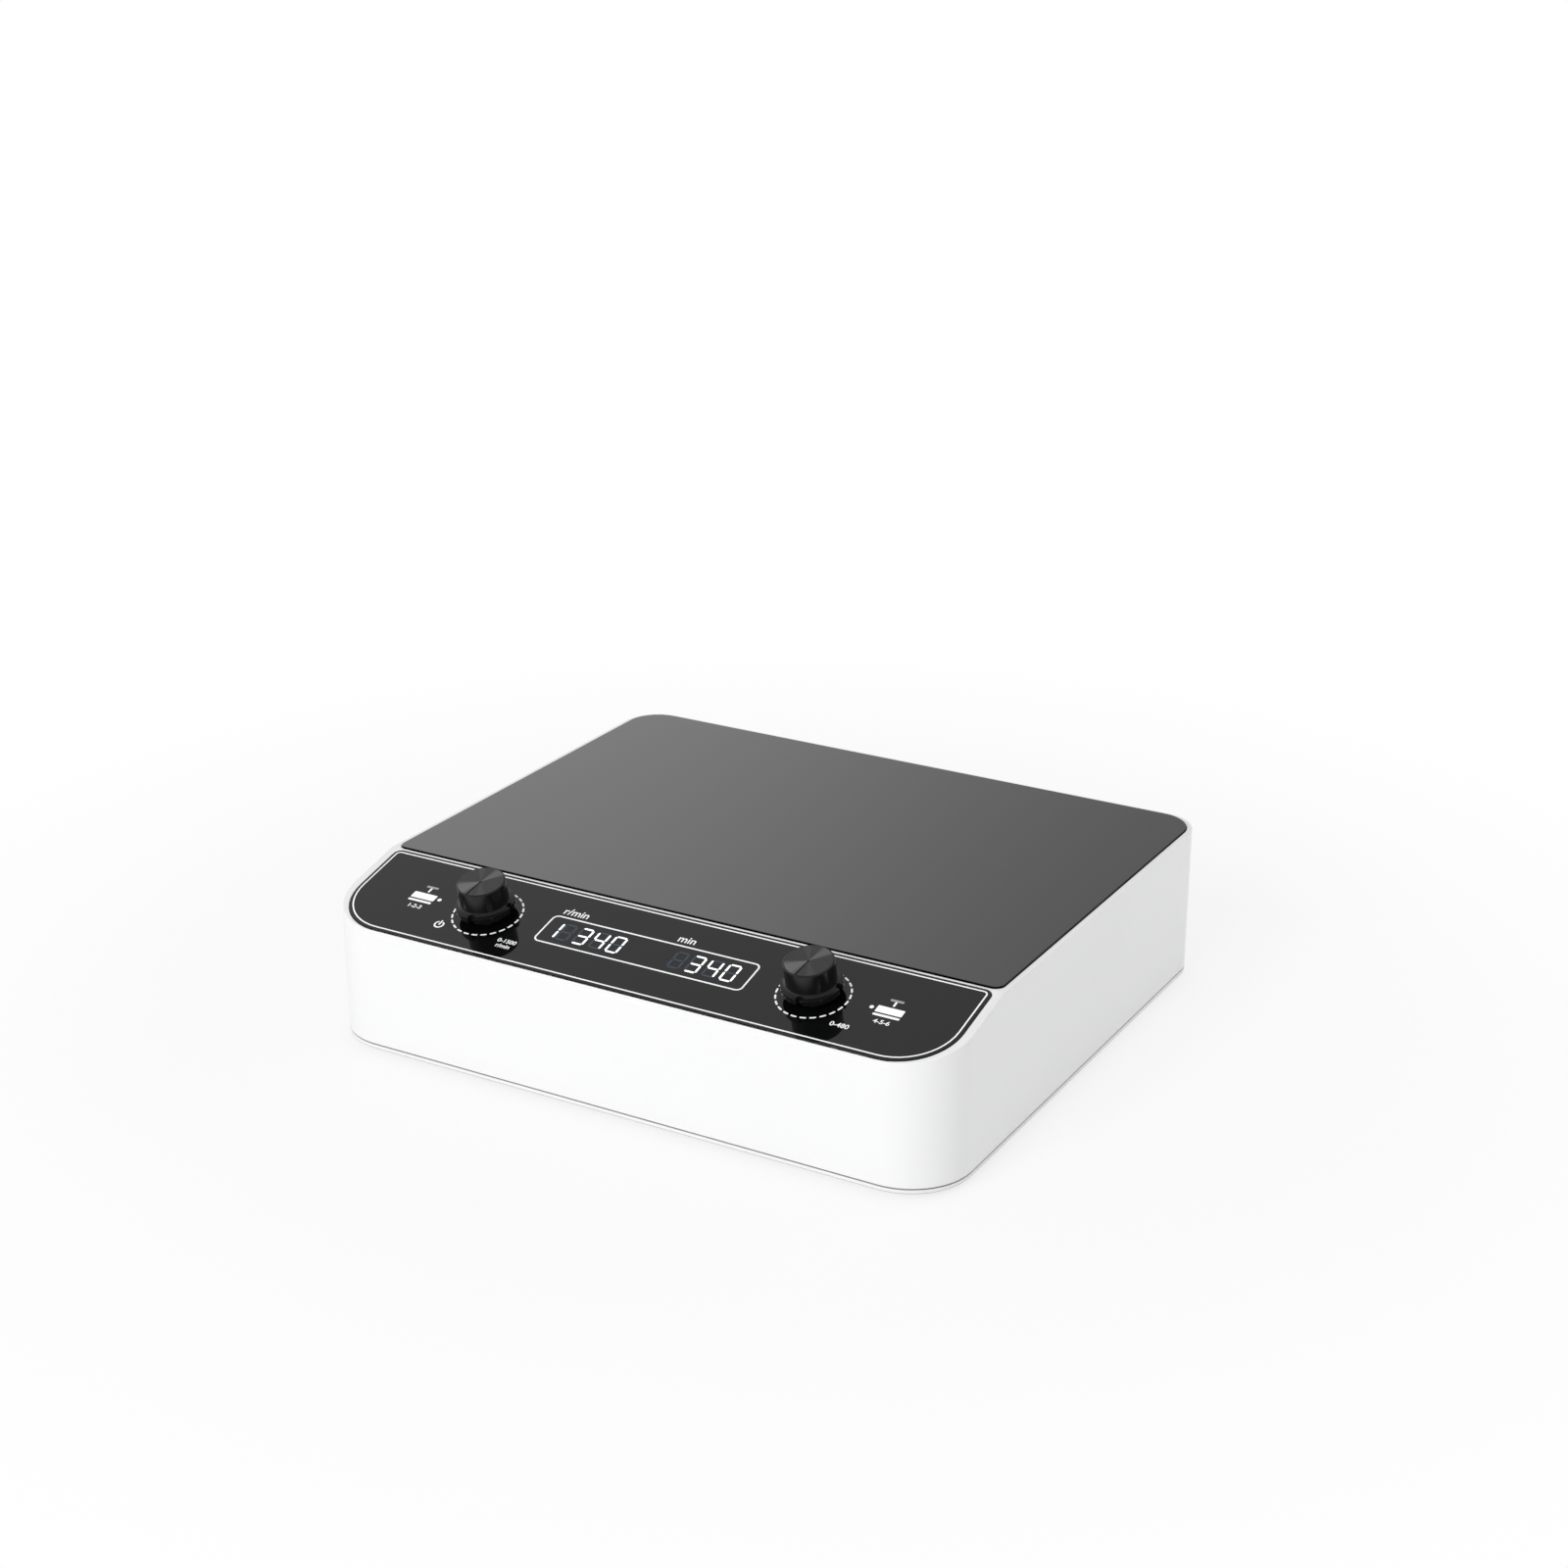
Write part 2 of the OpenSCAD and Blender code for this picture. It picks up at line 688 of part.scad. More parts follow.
function motor_screw_places() = [for (a = [45 : 90 : 315])
    motor_place + motor_screw_pcd / 2 * [cos(a), sin(a)]];

module deck_standoffs() {
    color("silver") for (p = standoffs) translate(p) difference() {
        rod(standoff_d, base_top, deck_under);
        rod(screw_d + 2 * seat_gap, base_top - cut, base_top + screw_grip + blind_spare);
        rod(screw_d + 2 * seat_gap, deck_under - screw_grip - blind_spare, deck_under + cut);
    }
}

module deck_screws() {
    color("silver") for (p = standoffs) translate([p[0], p[1], deck_top]) mirror([0, 0, 1])
        screw(screw_d, screw_head_d, screw_head_h, deck_t + screw_grip);
}

module motor_can() {
    color("dimgray") difference() {
        translate(motor_place) rod(motor_d, motor_bottom, deck_under);
        translate(motor_place) rod(motor_shaft_d + 2 * run_gap, motor_bottom + motor_floor, deck_under + cut);
        for (p = motor_screw_places()) translate(p)
            rod(screw_d + 2 * seat_gap, deck_under - screw_grip - blind_spare, deck_under + cut);
    }
}

module motor_screws() {
    color("silver") for (p = motor_screw_places()) translate([p[0], p[1], deck_top]) mirror([0, 0, 1])
        screw(screw_d, screw_head_d, screw_head_h, deck_t + screw_grip);
}

module motor_shaft() {
    color("silver") translate(motor_place)
        rod(motor_shaft_d, motor_bottom + motor_floor, rotor_bottom + motor_pulley_h + shaft_over_pulley);
}

// Outline of a stack of belt grooves, as [radius, height] points from the bottom up
function groove_outline(count) = [for (i = [0 : count - 1]) let (z = i * level_h)
    each [[flange_r, z], [flange_r, z + flange_t], [groove_r, z + flange_t], [groove_r, z + level_h]]];

module motor_pulley() {
    top = motor_pulley_h;
    color("gray") translate([0, plate_mid_y, rotor_bottom]) difference() {
        rotate_extrude() polygon(concat(
            [[0, 0]], groove_outline(motor_levels), [[flange_r, top - flange_t], [flange_r, top], [0, top]]
        ));
        rod(motor_shaft_d + 2 * seat_gap, -cut, top + cut);
    }
}

module spindles() {
    color("silver") at_places() difference() {
        union() {
            rod(spindle_d, deck_under - spindle_nut_h - spindle_end, spindle_top);
            rod(spindle_flange_d, deck_top, deck_top + spindle_flange_h);
        }
        difference() {
            rod(spindle_d + cut, clip_z, clip_z + clip_t);
            rod(clip_groove_d, clip_z - cut, clip_z + clip_t + cut);
        }
    }
}

module spindle_nuts() {
    color("silver") at_places() translate([0, 0, deck_under - spindle_nut_h])
        hex_nut(spindle_nut_d, spindle_d + 2 * seat_gap, spindle_nut_h);
}

module spindle_clips() {
    color("silver") at_places() difference() {
        rod(clip_d, clip_z, clip_z + clip_t);
        rod(clip_groove_d + 2 * seat_gap, clip_z - cut, clip_z + clip_t + cut);
        translate([0, -clip_slot_w / 2, clip_z - cut]) cube([clip_d, clip_slot_w, clip_t + 2 * cut]);
    }
}

module magnet_rotor(i) {
    top = disc_top - rotor_bottom;
    color("ivory") translate(place(i)) translate([0, 0, rotor_bottom]) difference() {
        rotate_extrude() polygon(concat(
            [[0, 0]], groove_outline(levels), [[rotor_d / 2, top - rotor_t], [rotor_d / 2, top], [0, top]]
        ));
        rod(spindle_d + 2 * rotor_bore_gap, -cut, top + cut);
        rod(bearing_d + 2 * seat_gap, -cut, bearing_w);
        rod(bearing_d + 2 * seat_gap, top - bearing_w, top + cut);
        for (sx = [-1, 1]) translate([sx * magnet_spacing / 2, 0, 0])
            rod(magnet_d + 2 * seat_gap, top - pocket_depth, top + cut);
    }
}

module rotor_magnets(i) {
    color("darkgray") translate(place(i)) for (sx = [-1, 1]) translate([sx * magnet_spacing / 2, 0, 0])
        rod(magnet_d, disc_top - pocket_depth, magnet_top);
}

module rotor_bearings(i) {
    color("silver") translate(place(i)) for (z = [rotor_bottom, disc_top - bearing_w]) difference() {
        rod(bearing_d, z, z + bearing_w);
        rod(spindle_d + 2 * run_gap, z - cut, z + bearing_w + cut);
    }
}

// Belt round two equal grooves, as two half turns and two straight runs
module drive_belt(b) {
    span = norm(b[2] - b[1]);
    run = b[2] - b[1];
    inner_r = groove_r + loose_gap;
    z = rotor_bottom + b[3] * level_h + flange_t + loose_gap;
    color("black") translate([b[1][0], b[1][1], z]) rotate(atan2(run[1], run[0])) {
        for (e = [0, 1]) translate([e * span, 0, 0]) rotate(90 - 180 * e) rotate_extrude(angle = 180)
            translate([inner_r, 0]) square([belt_t, belt_w]);
        for (e = [0, 1]) mirror([0, e, 0]) translate([0, inner_r, 0]) cube([span, belt_t, belt_w]);
    }
}

// Puts a piece of the inlet at the back wall, with its axis running inwards
module at_inlet() {
    translate([inlet_x, back_y, inlet_z]) rotate([90, 0, 0]) children();
}

module power_inlet() {
    color("black") at_inlet() {
        difference() {
            union() {
                rod(inlet_flange_d, 0, inlet_flange_t);
                rod(inlet_d, 0, inlet_len);
            }
            rod(inlet_bore_d, -cut, inlet_depth);
        }
        rod(inlet_pin_d, inlet_pin_inset, inlet_depth + cut);
    }
}

module inlet_nut() {
    color("silver") at_inlet() translate([0, 0, wall])
        hex_nut(inlet_nut_d, inlet_d + 2 * seat_gap, inlet_nut_h);
}

module power_lead() {
    color("black") lead(power_lead_route);
}

module motor_lead() {
    color("firebrick") lead(motor_lead_route);
}

housing();
base_plate();
rubber_feet();
foot_screws();
base_screws();
glass_plate();
plate_tape();
control_panel();
panel_tape();
display_module();
control_board();
board_screws();
for (k = knobs) {
    knob(k[1]);
    knob_cap(k[1]);
    pot(k[1]);
    pot_shaft(k[1]);
    pot_nut(k[1]);
}
deck_plate();
deck_standoffs();
deck_screws();
motor_can();
motor_screws();
motor_shaft();
motor_pulley();
spindles();
spindle_nuts();
spindle_clips();
for (i = [0 : len(places) - 1]) {
    magnet_rotor(i);
    rotor_magnets(i);
    rotor_bearings(i);
}
for (b = belts) drive_belt(b);
power_inlet();
inlet_nut();
power_lead();
motor_lead();
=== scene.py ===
# %% [markdown]
# # Dressing a six-place magnetic stirrer
# The solids of this bench instrument are already built, at their real size: a white housing, a black
# glass work plate, a sloped control panel and two knobs, with the belt drive inside. This lesson gives
# them their finishes, prints the panel, lights the display and sets up the studio. Nothing here moves
# or resizes a solid, so the first step loads them as they are.

# %% Load the frame
import json
import math
import bpy
from mathutils import Matrix, Vector


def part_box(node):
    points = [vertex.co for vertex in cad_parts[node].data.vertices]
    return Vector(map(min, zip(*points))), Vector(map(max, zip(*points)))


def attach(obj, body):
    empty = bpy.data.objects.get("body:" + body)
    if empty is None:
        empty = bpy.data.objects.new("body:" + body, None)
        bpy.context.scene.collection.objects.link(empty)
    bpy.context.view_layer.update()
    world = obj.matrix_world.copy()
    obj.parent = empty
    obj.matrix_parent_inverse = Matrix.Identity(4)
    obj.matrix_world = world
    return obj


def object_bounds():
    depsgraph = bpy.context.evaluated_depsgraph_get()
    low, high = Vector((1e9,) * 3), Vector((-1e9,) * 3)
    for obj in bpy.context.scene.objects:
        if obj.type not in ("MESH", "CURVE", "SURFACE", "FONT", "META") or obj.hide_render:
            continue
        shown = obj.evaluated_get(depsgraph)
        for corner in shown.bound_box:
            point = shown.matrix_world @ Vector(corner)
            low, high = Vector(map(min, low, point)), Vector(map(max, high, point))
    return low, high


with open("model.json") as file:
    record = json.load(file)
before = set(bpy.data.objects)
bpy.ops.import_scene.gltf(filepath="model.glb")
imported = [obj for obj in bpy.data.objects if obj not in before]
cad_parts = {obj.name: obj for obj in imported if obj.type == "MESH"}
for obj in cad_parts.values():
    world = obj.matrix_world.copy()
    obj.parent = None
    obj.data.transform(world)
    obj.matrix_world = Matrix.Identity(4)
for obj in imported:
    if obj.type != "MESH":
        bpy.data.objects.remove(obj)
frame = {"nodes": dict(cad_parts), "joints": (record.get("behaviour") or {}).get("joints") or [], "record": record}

MM = 0.001
cad_box = [list(corner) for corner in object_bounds()]
nodes = frame["nodes"]
print("solids:", len(nodes), "box:", cad_box)

# %% [markdown]
# ## The camera
# The photograph shows the front and the right side from a little above. A camera is best set before any
# finish, because gloss depends on the view. Its place came from fitting the straight edges of the body,
# so it is given as a place, two angles and a focal length in pixels of the square frame. Blender counts
# focal length in millimetres of sensor, and one division turns one into the other.

# %% Set the camera
PHOTO_WIDTH_PX = 1600
FOCAL_PX = 2800
SENSOR_WIDTH = 36.0
CAMERA_AZIMUTH = math.radians(29.92)
CAMERA_ELEVATION = math.radians(21.16)
CAMERA_PLACE = Vector((616.2, -1060.1, 589.7)) * MM

camera_data = bpy.data.cameras.new("photo_camera")
camera_data.sensor_width = SENSOR_WIDTH
camera_data.lens = SENSOR_WIDTH * FOCAL_PX / PHOTO_WIDTH_PX
camera = bpy.data.objects.new("photo_camera", camera_data)
camera.location = CAMERA_PLACE
camera.rotation_euler = (math.pi / 2 - CAMERA_ELEVATION, 0.0, CAMERA_AZIMUTH)
bpy.context.collection.objects.link(camera)
bpy.context.scene.camera = camera
print("lens:", round(camera_data.lens, 1), "mm")

# %% [markdown]
# ## Shader maths as plain expressions
# Finishes are built from nodes, and long chains of Math nodes are hard to read. One small class holds a
# socket and turns Python's operators into Math nodes, so that a mask can be written as 1 - edge * wear.
# Every other node comes from one method: the kind of node, then its settings, then its sockets.

# %% A wire between nodes
class Wire:
    """One output socket; arithmetic on it adds Math nodes to its tree."""

    def __init__(self, tree, socket=None):
        self.tree = tree
        self.socket = socket

    def node(self, kind, settings, sockets, out=0):
        """Add a node: its settings first, then values or wires for its sockets."""
        made = self.tree.nodes.new(kind)
        for name, value in settings.items():
            setattr(made, name, value)
        for name, value in sockets.items():
            if isinstance(value, Wire):
                self.tree.links.new(value.socket, made.inputs[name])
            else:
                made.inputs[name].default_value = value
        return Wire(self.tree, made.outputs[out] if made.outputs else None)

    def maths(self, operation, *values):
        return self.node("ShaderNodeMath", {"operation": operation}, dict(enumerate(values)))

    def __add__(self, other):
        return self.maths("ADD", self, other)

    def __sub__(self, other):
        return self.maths("SUBTRACT", self, other)

    def __rsub__(self, other):
        return self.maths("SUBTRACT", other, self)

    def __mul__(self, other):
        return self.maths("MULTIPLY", self, other)

    __radd__ = __add__
    __rmul__ = __mul__


print("a wire knows", [name for name in vars(Wire) if not name.startswith("__")])

# %% [markdown]
# A few helpers cover what nearly every finish needs: where a point lies on the object, a soft noise of a
# given grain size, a blend of two colours, a bump and a smooth step. The grain is in millimetres, because
# that is how one judges it on the real surface. A finish is a function that returns the shader's sockets.

# %% Helpers for finishes
def place_on_object(pen):
    return pen.node("ShaderNodeTexCoord", {}, {}, out="Object")


def noise(pen, where, grain_mm, detail=2.0):
    sockets = {"Vector": where, "Scale": 1 / (grain_mm * MM), "Detail": detail}
    return pen.node("ShaderNodeTexNoise", {}, sockets)


def stretched(pen, where, factors):
    return pen.node("ShaderNodeVectorMath", {"operation": "MULTIPLY"}, {0: where, 1: factors})


MIX_COLOUR_A = 6
MIX_COLOUR_B = 7
MIX_COLOUR_OUT = 2


def blend(pen, mask, first, second):
    sockets = {0: mask, MIX_COLOUR_A: first, MIX_COLOUR_B: second}
    return pen.node("ShaderNodeMix", {"data_type": "RGBA"}, sockets, out=MIX_COLOUR_OUT)


def raised(pen, height, strength, depth_mm):
    sockets = {"Height": height, "Strength": strength, "Distance": depth_mm * MM}
    return pen.node("ShaderNodeBump", {}, sockets)


def between(pen, value, low, high):
    """0 below low, 1 above high, smooth in between."""
    settings = {"interpolation_type": "SMOOTHSTEP"}
    return pen.node("ShaderNodeMapRange", settings, {"Value": value, "From Min": low, "From Max": high})


def finish(name, recipe, *values, **named_values):
    """A material whose Principled sockets come from a recipe and its values."""
    made = bpy.data.materials.new(name)
    made.use_nodes = True
    made.node_tree.nodes.clear()
    pen = Wire(made.node_tree)
    shader = pen.node("ShaderNodeBsdfPrincipled", {}, recipe(pen, *values, **named_values))
    pen.node("ShaderNodeOutputMaterial", {}, {"Surface": shader})
    return made


def grey(level, tint=0.0):
    """A grey as linear colour, with a little blue where tint is above 0."""
    return (level * (1 - tint), level, level * (1 + tint), 1.0)


print("helpers ready")

# %% [markdown]
# ## White mouldings and paint
# The housing is a glossy white moulding. A single white would look like paper, so the colour drifts by
# a percent or two, the gloss is uneven as on a moulded skin, and a faint orange peel bends the
# reflections. The base plate is sheet metal with powder coat, which has a finer, deeper grain. Two thin
# grey lines of painted shade run round the foot: one in the shadow gap over the base plate, and one along
# the plate's own lower edge next to the floor. A step on the height above the bench paints both into the
# colour, and faces that look down keep their white, or the whole underside would turn grey.

# %% The white finishes
WHITE = 0.86
# The grey and the heights of the painted shade lines round the foot
PAINTED_SHADE_GREY = 0.07
LINE_BLUR = 0.06 * MM
GAP_H = 0.75 * MM
EDGE_H = 0.3 * MM
FLOORWARD = -0.8
WALLWARD = -0.6
base_low, base_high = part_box("base_plate")
GAP_SHADE_TOP = base_high[2] + GAP_H
EDGE_SHADE_TOP = base_low[2] + EDGE_H


def above(pen, where, height):
    """0 below a height over the bench, 1 above it."""
    level = pen.node("ShaderNodeSeparateXYZ", {}, {"Vector": where}, out="Z")
    return between(pen, level, height - LINE_BLUR, height + LINE_BLUR)


def looking_down(pen):
    """1 on faces that look at the floor, 0 on walls and tops."""
    normal = pen.node("ShaderNodeNewGeometry", {}, {}, out="Normal")
    tilt = pen.node("ShaderNodeSeparateXYZ", {}, {"Vector": normal}, out="Z")
    return 1 - between(pen, tilt, FLOORWARD, WALLWARD)


def moulded_white(pen):
    where = place_on_object(pen)
    cloud = noise(pen, where, grain_mm=70)
    peel = noise(pen, where, grain_mm=9)
    white = blend(pen, cloud, grey(WHITE), grey(WHITE * 0.975, 0.004))
    return {
        # Painted shade: the housing turns dark grey below the top of the shadow gap
        "Base Color": blend(pen, above(pen, where, GAP_SHADE_TOP), grey(PAINTED_SHADE_GREY), white),
        "Roughness": 0.26 + 0.08 * cloud,
        "Normal": raised(pen, peel, strength=0.05, depth_mm=0.1),
        "IOR": 1.5,
    }


def powder_white(pen):
    where = place_on_object(pen)
    grain = noise(pen, where, grain_mm=0.7, detail=3.0)
    cloud = noise(pen, where, grain_mm=60)
    white = blend(pen, cloud, grey(WHITE), grey(WHITE * 0.95))
    # Painted shade: a dark grey line along the lowest edge of the base plate, left off faces that look down
    unmarked = pen.maths("MAXIMUM", above(pen, where, EDGE_SHADE_TOP), looking_down(pen))
    return {
        "Base Color": blend(pen, unmarked, grey(PAINTED_SHADE_GREY), white),
        "Roughness": 0.38 + 0.14 * grain,
        "Normal": raised(pen, grain, strength=0.25, depth_mm=0.06),
    }


finishes = {
    "white_plastic": finish("white_plastic_finish", moulded_white),
    "white_paint": finish("white_paint_finish", powder_white),
}
print("finishes:", list(finishes))

# %% [markdown]
# ## Black glass
# Both the work plate and the panel are black glass. Nearly all of its grey in the photograph is a
# reflection of the pale studio, which grows towards grazing angles, so the colour itself stays almost
# black and Fresnel does the rest. Wiped glass is never even: broad, faint smears change the roughness.
# The ground edge of the work plate is inked and shines far less than its face, so below the face the
# shader turns into a nearly black metal, which hardly reflects.

# %% The glass
FACE_T = 0.15 * MM
INK_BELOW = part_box("glass_plate")[1][2] - FACE_T
NOWHERE_INKED = 0.0
WIPE_SHAPE = (1.0, 0.35, 1.0)
DEEP_BLACK = grey(0.0022, 0.05)
PALE_BLACK = grey(0.0034, 0.1)


def wiped_glass(pen, specular, smear, inked_below):
    where = place_on_object(pen)
    wipe = noise(pen, stretched(pen, where, WIPE_SHAPE), grain_mm=30, detail=5.0)
    return {
        "Base Color": blend(pen, wipe, DEEP_BLACK, PALE_BLACK),
        "Roughness": 0.02 + smear * between(pen, wipe, low=0.35, high=0.75),
        "Metallic": 1 - above(pen, where, inked_below),
        "IOR": 1.5,
        "Specular IOR Level": specular,
    }


finishes["black_glass"] = finish(
    "work_plate_glass", wiped_glass, specular=1.0, smear=0.05, inked_below=INK_BELOW,
)
panel_glass = finish("panel_glass", wiped_glass, specular=0.5, smear=0.04, inked_below=NOWHERE_INKED)
print("finishes:", list(finishes))

# %% [markdown]
# ## Metals
# Screws, spindles, deck and motor are steel with different handling. A metal here is a base tint, a
# roughness and a grain. Noise that is drawn out along one axis reads as brushing or rolling, drawn out
# along two it reads as the fine rings of turning, and an even grain reads as plating.

# %% The metal finishes
def worked_metal(pen, level, roughness, grain_mm, grain_shape):
    where = place_on_object(pen)
    grain = noise(pen, stretched(pen, where, grain_shape), grain_mm, detail=3.0)
    cloud = noise(pen, where, grain_mm=12)
    return {
        "Base Color": blend(pen, cloud, grey(level, 0.01), grey(level * 0.86, 0.02)),
        "Metallic": 1.0,
        "Roughness": roughness + 0.18 * (grain - 0.5) + 0.06 * cloud,
        "Normal": raised(pen, grain, strength=0.12, depth_mm=0.03),
    }


ROUND_GRAIN = (1.0, 1.0, 1.0)
ALONG_X = (0.06, 1.0, 1.0)
RINGS_ON_Z = (0.1, 0.1, 1.0)
# Tint, roughness, grain in millimetres, shape of the grain
metals = {
    "screw_steel": (0.60, 0.34, 0.8, ROUND_GRAIN),
    "pot_metal": (0.55, 0.36, 0.6, ALONG_X),
    "deck_steel": (0.58, 0.42, 0.5, ALONG_X),
    "motor_steel": (0.16, 0.40, 0.5, RINGS_ON_Z),
    "shaft_steel": (0.62, 0.22, 0.3, RINGS_ON_Z),
    "magnet_metal": (0.64, 0.18, 1.5, ROUND_GRAIN),
    "bearing_steel": (0.60, 0.20, 0.3, RINGS_ON_Z),
}
for slot, values in metals.items():
    finishes[slot] = finish(slot + "_finish", worked_metal, *values)
print("metals:", list(metals))

# %% [markdown]
# ## Rubber, foam, mouldings and lead jackets
# Most of these soft and moulded pieces are nearly black and differ in grain and sheen more than in
# colour. One recipe takes two close tints, a roughness, a grain size, how far the grain stands up and how
# strongly it shines, and a table names each finish.

# %% The moulded finishes
def moulded(pen, light, dark, roughness, grain_mm, relief, specular):
    where = place_on_object(pen)
    grain = noise(pen, where, grain_mm, detail=3.0)
    cloud = noise(pen, where, grain_mm=9, detail=3.0)
    return {
        "Base Color": blend(pen, cloud, light, dark),
        "Roughness": roughness + 0.16 * (grain - 0.5),
        "Normal": raised(pen, grain, relief, depth_mm=0.05),
        "Specular IOR Level": specular,
    }


# Light tint, dark tint, roughness, grain in millimetres, relief, specular level
mouldings = {
    "foot_rubber": (grey(0.030), grey(0.022), 0.72, 0.5, 0.5, 0.4),
    "foam_tape": (grey(0.13), grey(0.10), 0.9, 0.35, 0.8, 0.3),
    "display_face": (grey(0.010, 0.1), grey(0.007, 0.1), 0.35, 1.2, 0.05, 0.4),
    "knob_plastic": (grey(0.0060), grey(0.0045), 0.20, 0.35, 0.04, 0.32),
    "pulley_plastic": ((0.72, 0.70, 0.62, 1), (0.66, 0.64, 0.56, 1), 0.45, 1.0, 0.1, 0.5),
    "belt_rubber": (grey(0.022), grey(0.016), 0.66, 0.4, 0.5, 0.4),
    "inlet_plastic": (grey(0.016), grey(0.012), 0.42, 0.4, 0.15, 0.5),
    "lead_black": (grey(0.020), grey(0.015), 0.48, 0.6, 0.15, 0.5),
    "lead_red": ((0.36, 0.020, 0.018, 1), (0.30, 0.015, 0.014, 1), 0.48, 0.6, 0.15, 0.5),
}
for slot, values in mouldings.items():
    finishes[slot] = finish(slot + "_finish", moulded, *values)
print("mouldings:", list(mouldings))

# %% [markdown]
# ## The control board
# A board is green solder resist over copper: wide copper areas show as a lighter green and the gaps
# between them as thin darker lines. Cells with straight borders give that map, and the distance to a
# border is the gap.

# %% The board finish
CELL = 6.25 * MM
GAP_GREEN = (0.004, 0.045, 0.018, 1)
COPPER_GREEN = (0.010, 0.120, 0.042, 1)


def solder_resist(pen):
    where = place_on_object(pen)
    sockets = {"Vector": where, "Scale": 1 / CELL}
    border = pen.node("ShaderNodeTexVoronoi", {"feature": "DISTANCE_TO_EDGE"}, sockets)
    copper = between(pen, border, low=0.04, high=0.09)
    return {
        "Base Color": blend(pen, copper, GAP_GREEN, COPPER_GREEN),
        "Roughness": 0.36 + 0.1 * noise(pen, where, grain_mm=4),
        "Normal": raised(pen, copper, strength=0.3, depth_mm=0.04),
    }


finishes["board_laminate"] = finish("board_laminate_finish", solder_resist)
print("board nodes:", len(finishes["board_laminate"].node_tree.nodes))

# %% [markdown]
# ## The panel's own frame
# Everything printed on the panel is easier to place in the panel's own frame: x to the right, s up the
# slope from the front face, and n out of the glass. The knob joints already hold the tilt and a point on
# the slope, so the frame comes from them: their axis points into the panel, and the joint's place is the
# middle of the knob on the slope line.

# %% Map the slope to the object
knob_joints = {joint["name"]: joint for joint in frame["joints"]}
knob_axis = Vector(knob_joints["speed_knob_turn"]["axis"])
panel_out = -knob_axis
panel_up = Vector((0.0, panel_out.z, -panel_out.y))
front_y = cad_box[0][1]
knob_place = Vector(knob_joints["timer_knob_turn"]["pos_m"])
KNOB_X = knob_place.x
KNOB_S = (knob_place.y - front_y) / panel_up.y
slope_start = knob_place - Vector((KNOB_X, 0, 0)) - panel_up * KNOB_S
slope_tilt = math.atan2(panel_up.z, panel_up.y)
glass_points = [point.co - slope_start for point in nodes["control_panel"].data.vertices]
panel_face = max(point.dot(panel_out) for point in glass_points)


def on_slope(x, s, n):
    return slope_start + Vector((x, 0, 0)) + panel_up * s + panel_out * n


print("tilt:", round(math.degrees(slope_tilt), 2), "knobs at x", round(KNOB_X, 4), "s", round(KNOB_S, 4))
print("glass stands", round(panel_face / MM, 3), "mm over the slope")

# %% [markdown]
# ## Spun knob caps
# Each knob carries a thin metal cap with a fine turned face. Turning leaves rings too small to see, and
# they spread a reflection into bright wedges that fan out from the middle. Rings in a bump would need
# detail far below a pixel, so the rings are kept coarse enough to hold, and the wedges are a painted
# highlight: a brighter tint that follows the angle round the middle.

# %% The cap finish
RING_PITCH = 0.45 * MM
FLECK = 0.12
DULL_METAL = grey(0.055)
PAINTED_HIGHLIGHT_GREY = grey(0.19)
# Middle and half width of each painted highlight wedge in degrees, then how bright it is
PAINTED_HIGHLIGHT_WEDGES = ((232.0, 36.0, 1.0), (64.0, 24.0, 0.7), (120.0, 14.0, 0.15), (303.0, 16.0, 0.15))


def turned_cap(pen, knob_x):
    centre = on_slope(knob_x, KNOB_S, 0)
    where = place_on_object(pen)
    local = pen.node("ShaderNodeVectorMath", {"operation": "SUBTRACT"}, {0: where, 1: centre})
    settings = {"rotation_type": "X_AXIS"}
    flat = pen.node("ShaderNodeVectorRotate", settings, {"Vector": local, "Angle": -slope_tilt})
    along = pen.node("ShaderNodeSeparateXYZ", {}, {"Vector": flat}, out="X")
    across = pen.node("ShaderNodeSeparateXYZ", {}, {"Vector": flat}, out="Y")
    radius = pen.maths("SQRT", along * along + across * across)
    angle = pen.maths("ARCTAN2", across, along)
    rings = pen.maths("SINE", radius * (math.tau / RING_PITCH))
    # The cap's own uneven tone, then the painted highlight wedges on top of it
    glow = noise(pen, where, grain_mm=1.5) * FLECK
    for middle, half_width, brightness in PAINTED_HIGHLIGHT_WEDGES:
        nearness = pen.maths("COSINE", angle - math.radians(middle))
        edge = math.cos(math.radians(half_width))
        glow = glow + brightness * between(pen, nearness, low=edge, high=1.0)
    return {
        "Base Color": blend(pen, glow, DULL_METAL, PAINTED_HIGHLIGHT_GREY),
        "Metallic": 0.85,
        "Roughness": 0.34 + 0.06 * rings,
        "Normal": raised(pen, rings, strength=0.1, depth_mm=0.02),
    }


cap_finishes = {
    "speed_knob_cap": finish("speed_cap_finish", turned_cap, -KNOB_X),
    "timer_knob_cap": finish("timer_cap_finish", turned_cap, KNOB_X),
}
finishes["spun_cap"] = cap_finishes["speed_knob_cap"]
print("caps:", list(cap_finishes))

# %% [markdown]
# ## Putting the finishes on the solids
# The record names a slot for every node, so one loop gives each its finish. Three nodes then take a
# closer match: the panel's own glass, and a cap finish that is centred on its own knob.

# %% Assign the finishes
slot_of = {row["node"]: row["material_slot"] for row in frame["record"]["subparts"]}


def wear(piece, material):
    piece.data.materials.clear()
    piece.data.materials.append(material)


for name, piece in nodes.items():
    wear(piece, finishes[slot_of[name]])
wear(nodes["control_panel"], panel_glass)
for name, material in cap_finishes.items():
    wear(nodes[name], material)
print("dressed", len(nodes), "nodes in", len(finishes), "finishes")

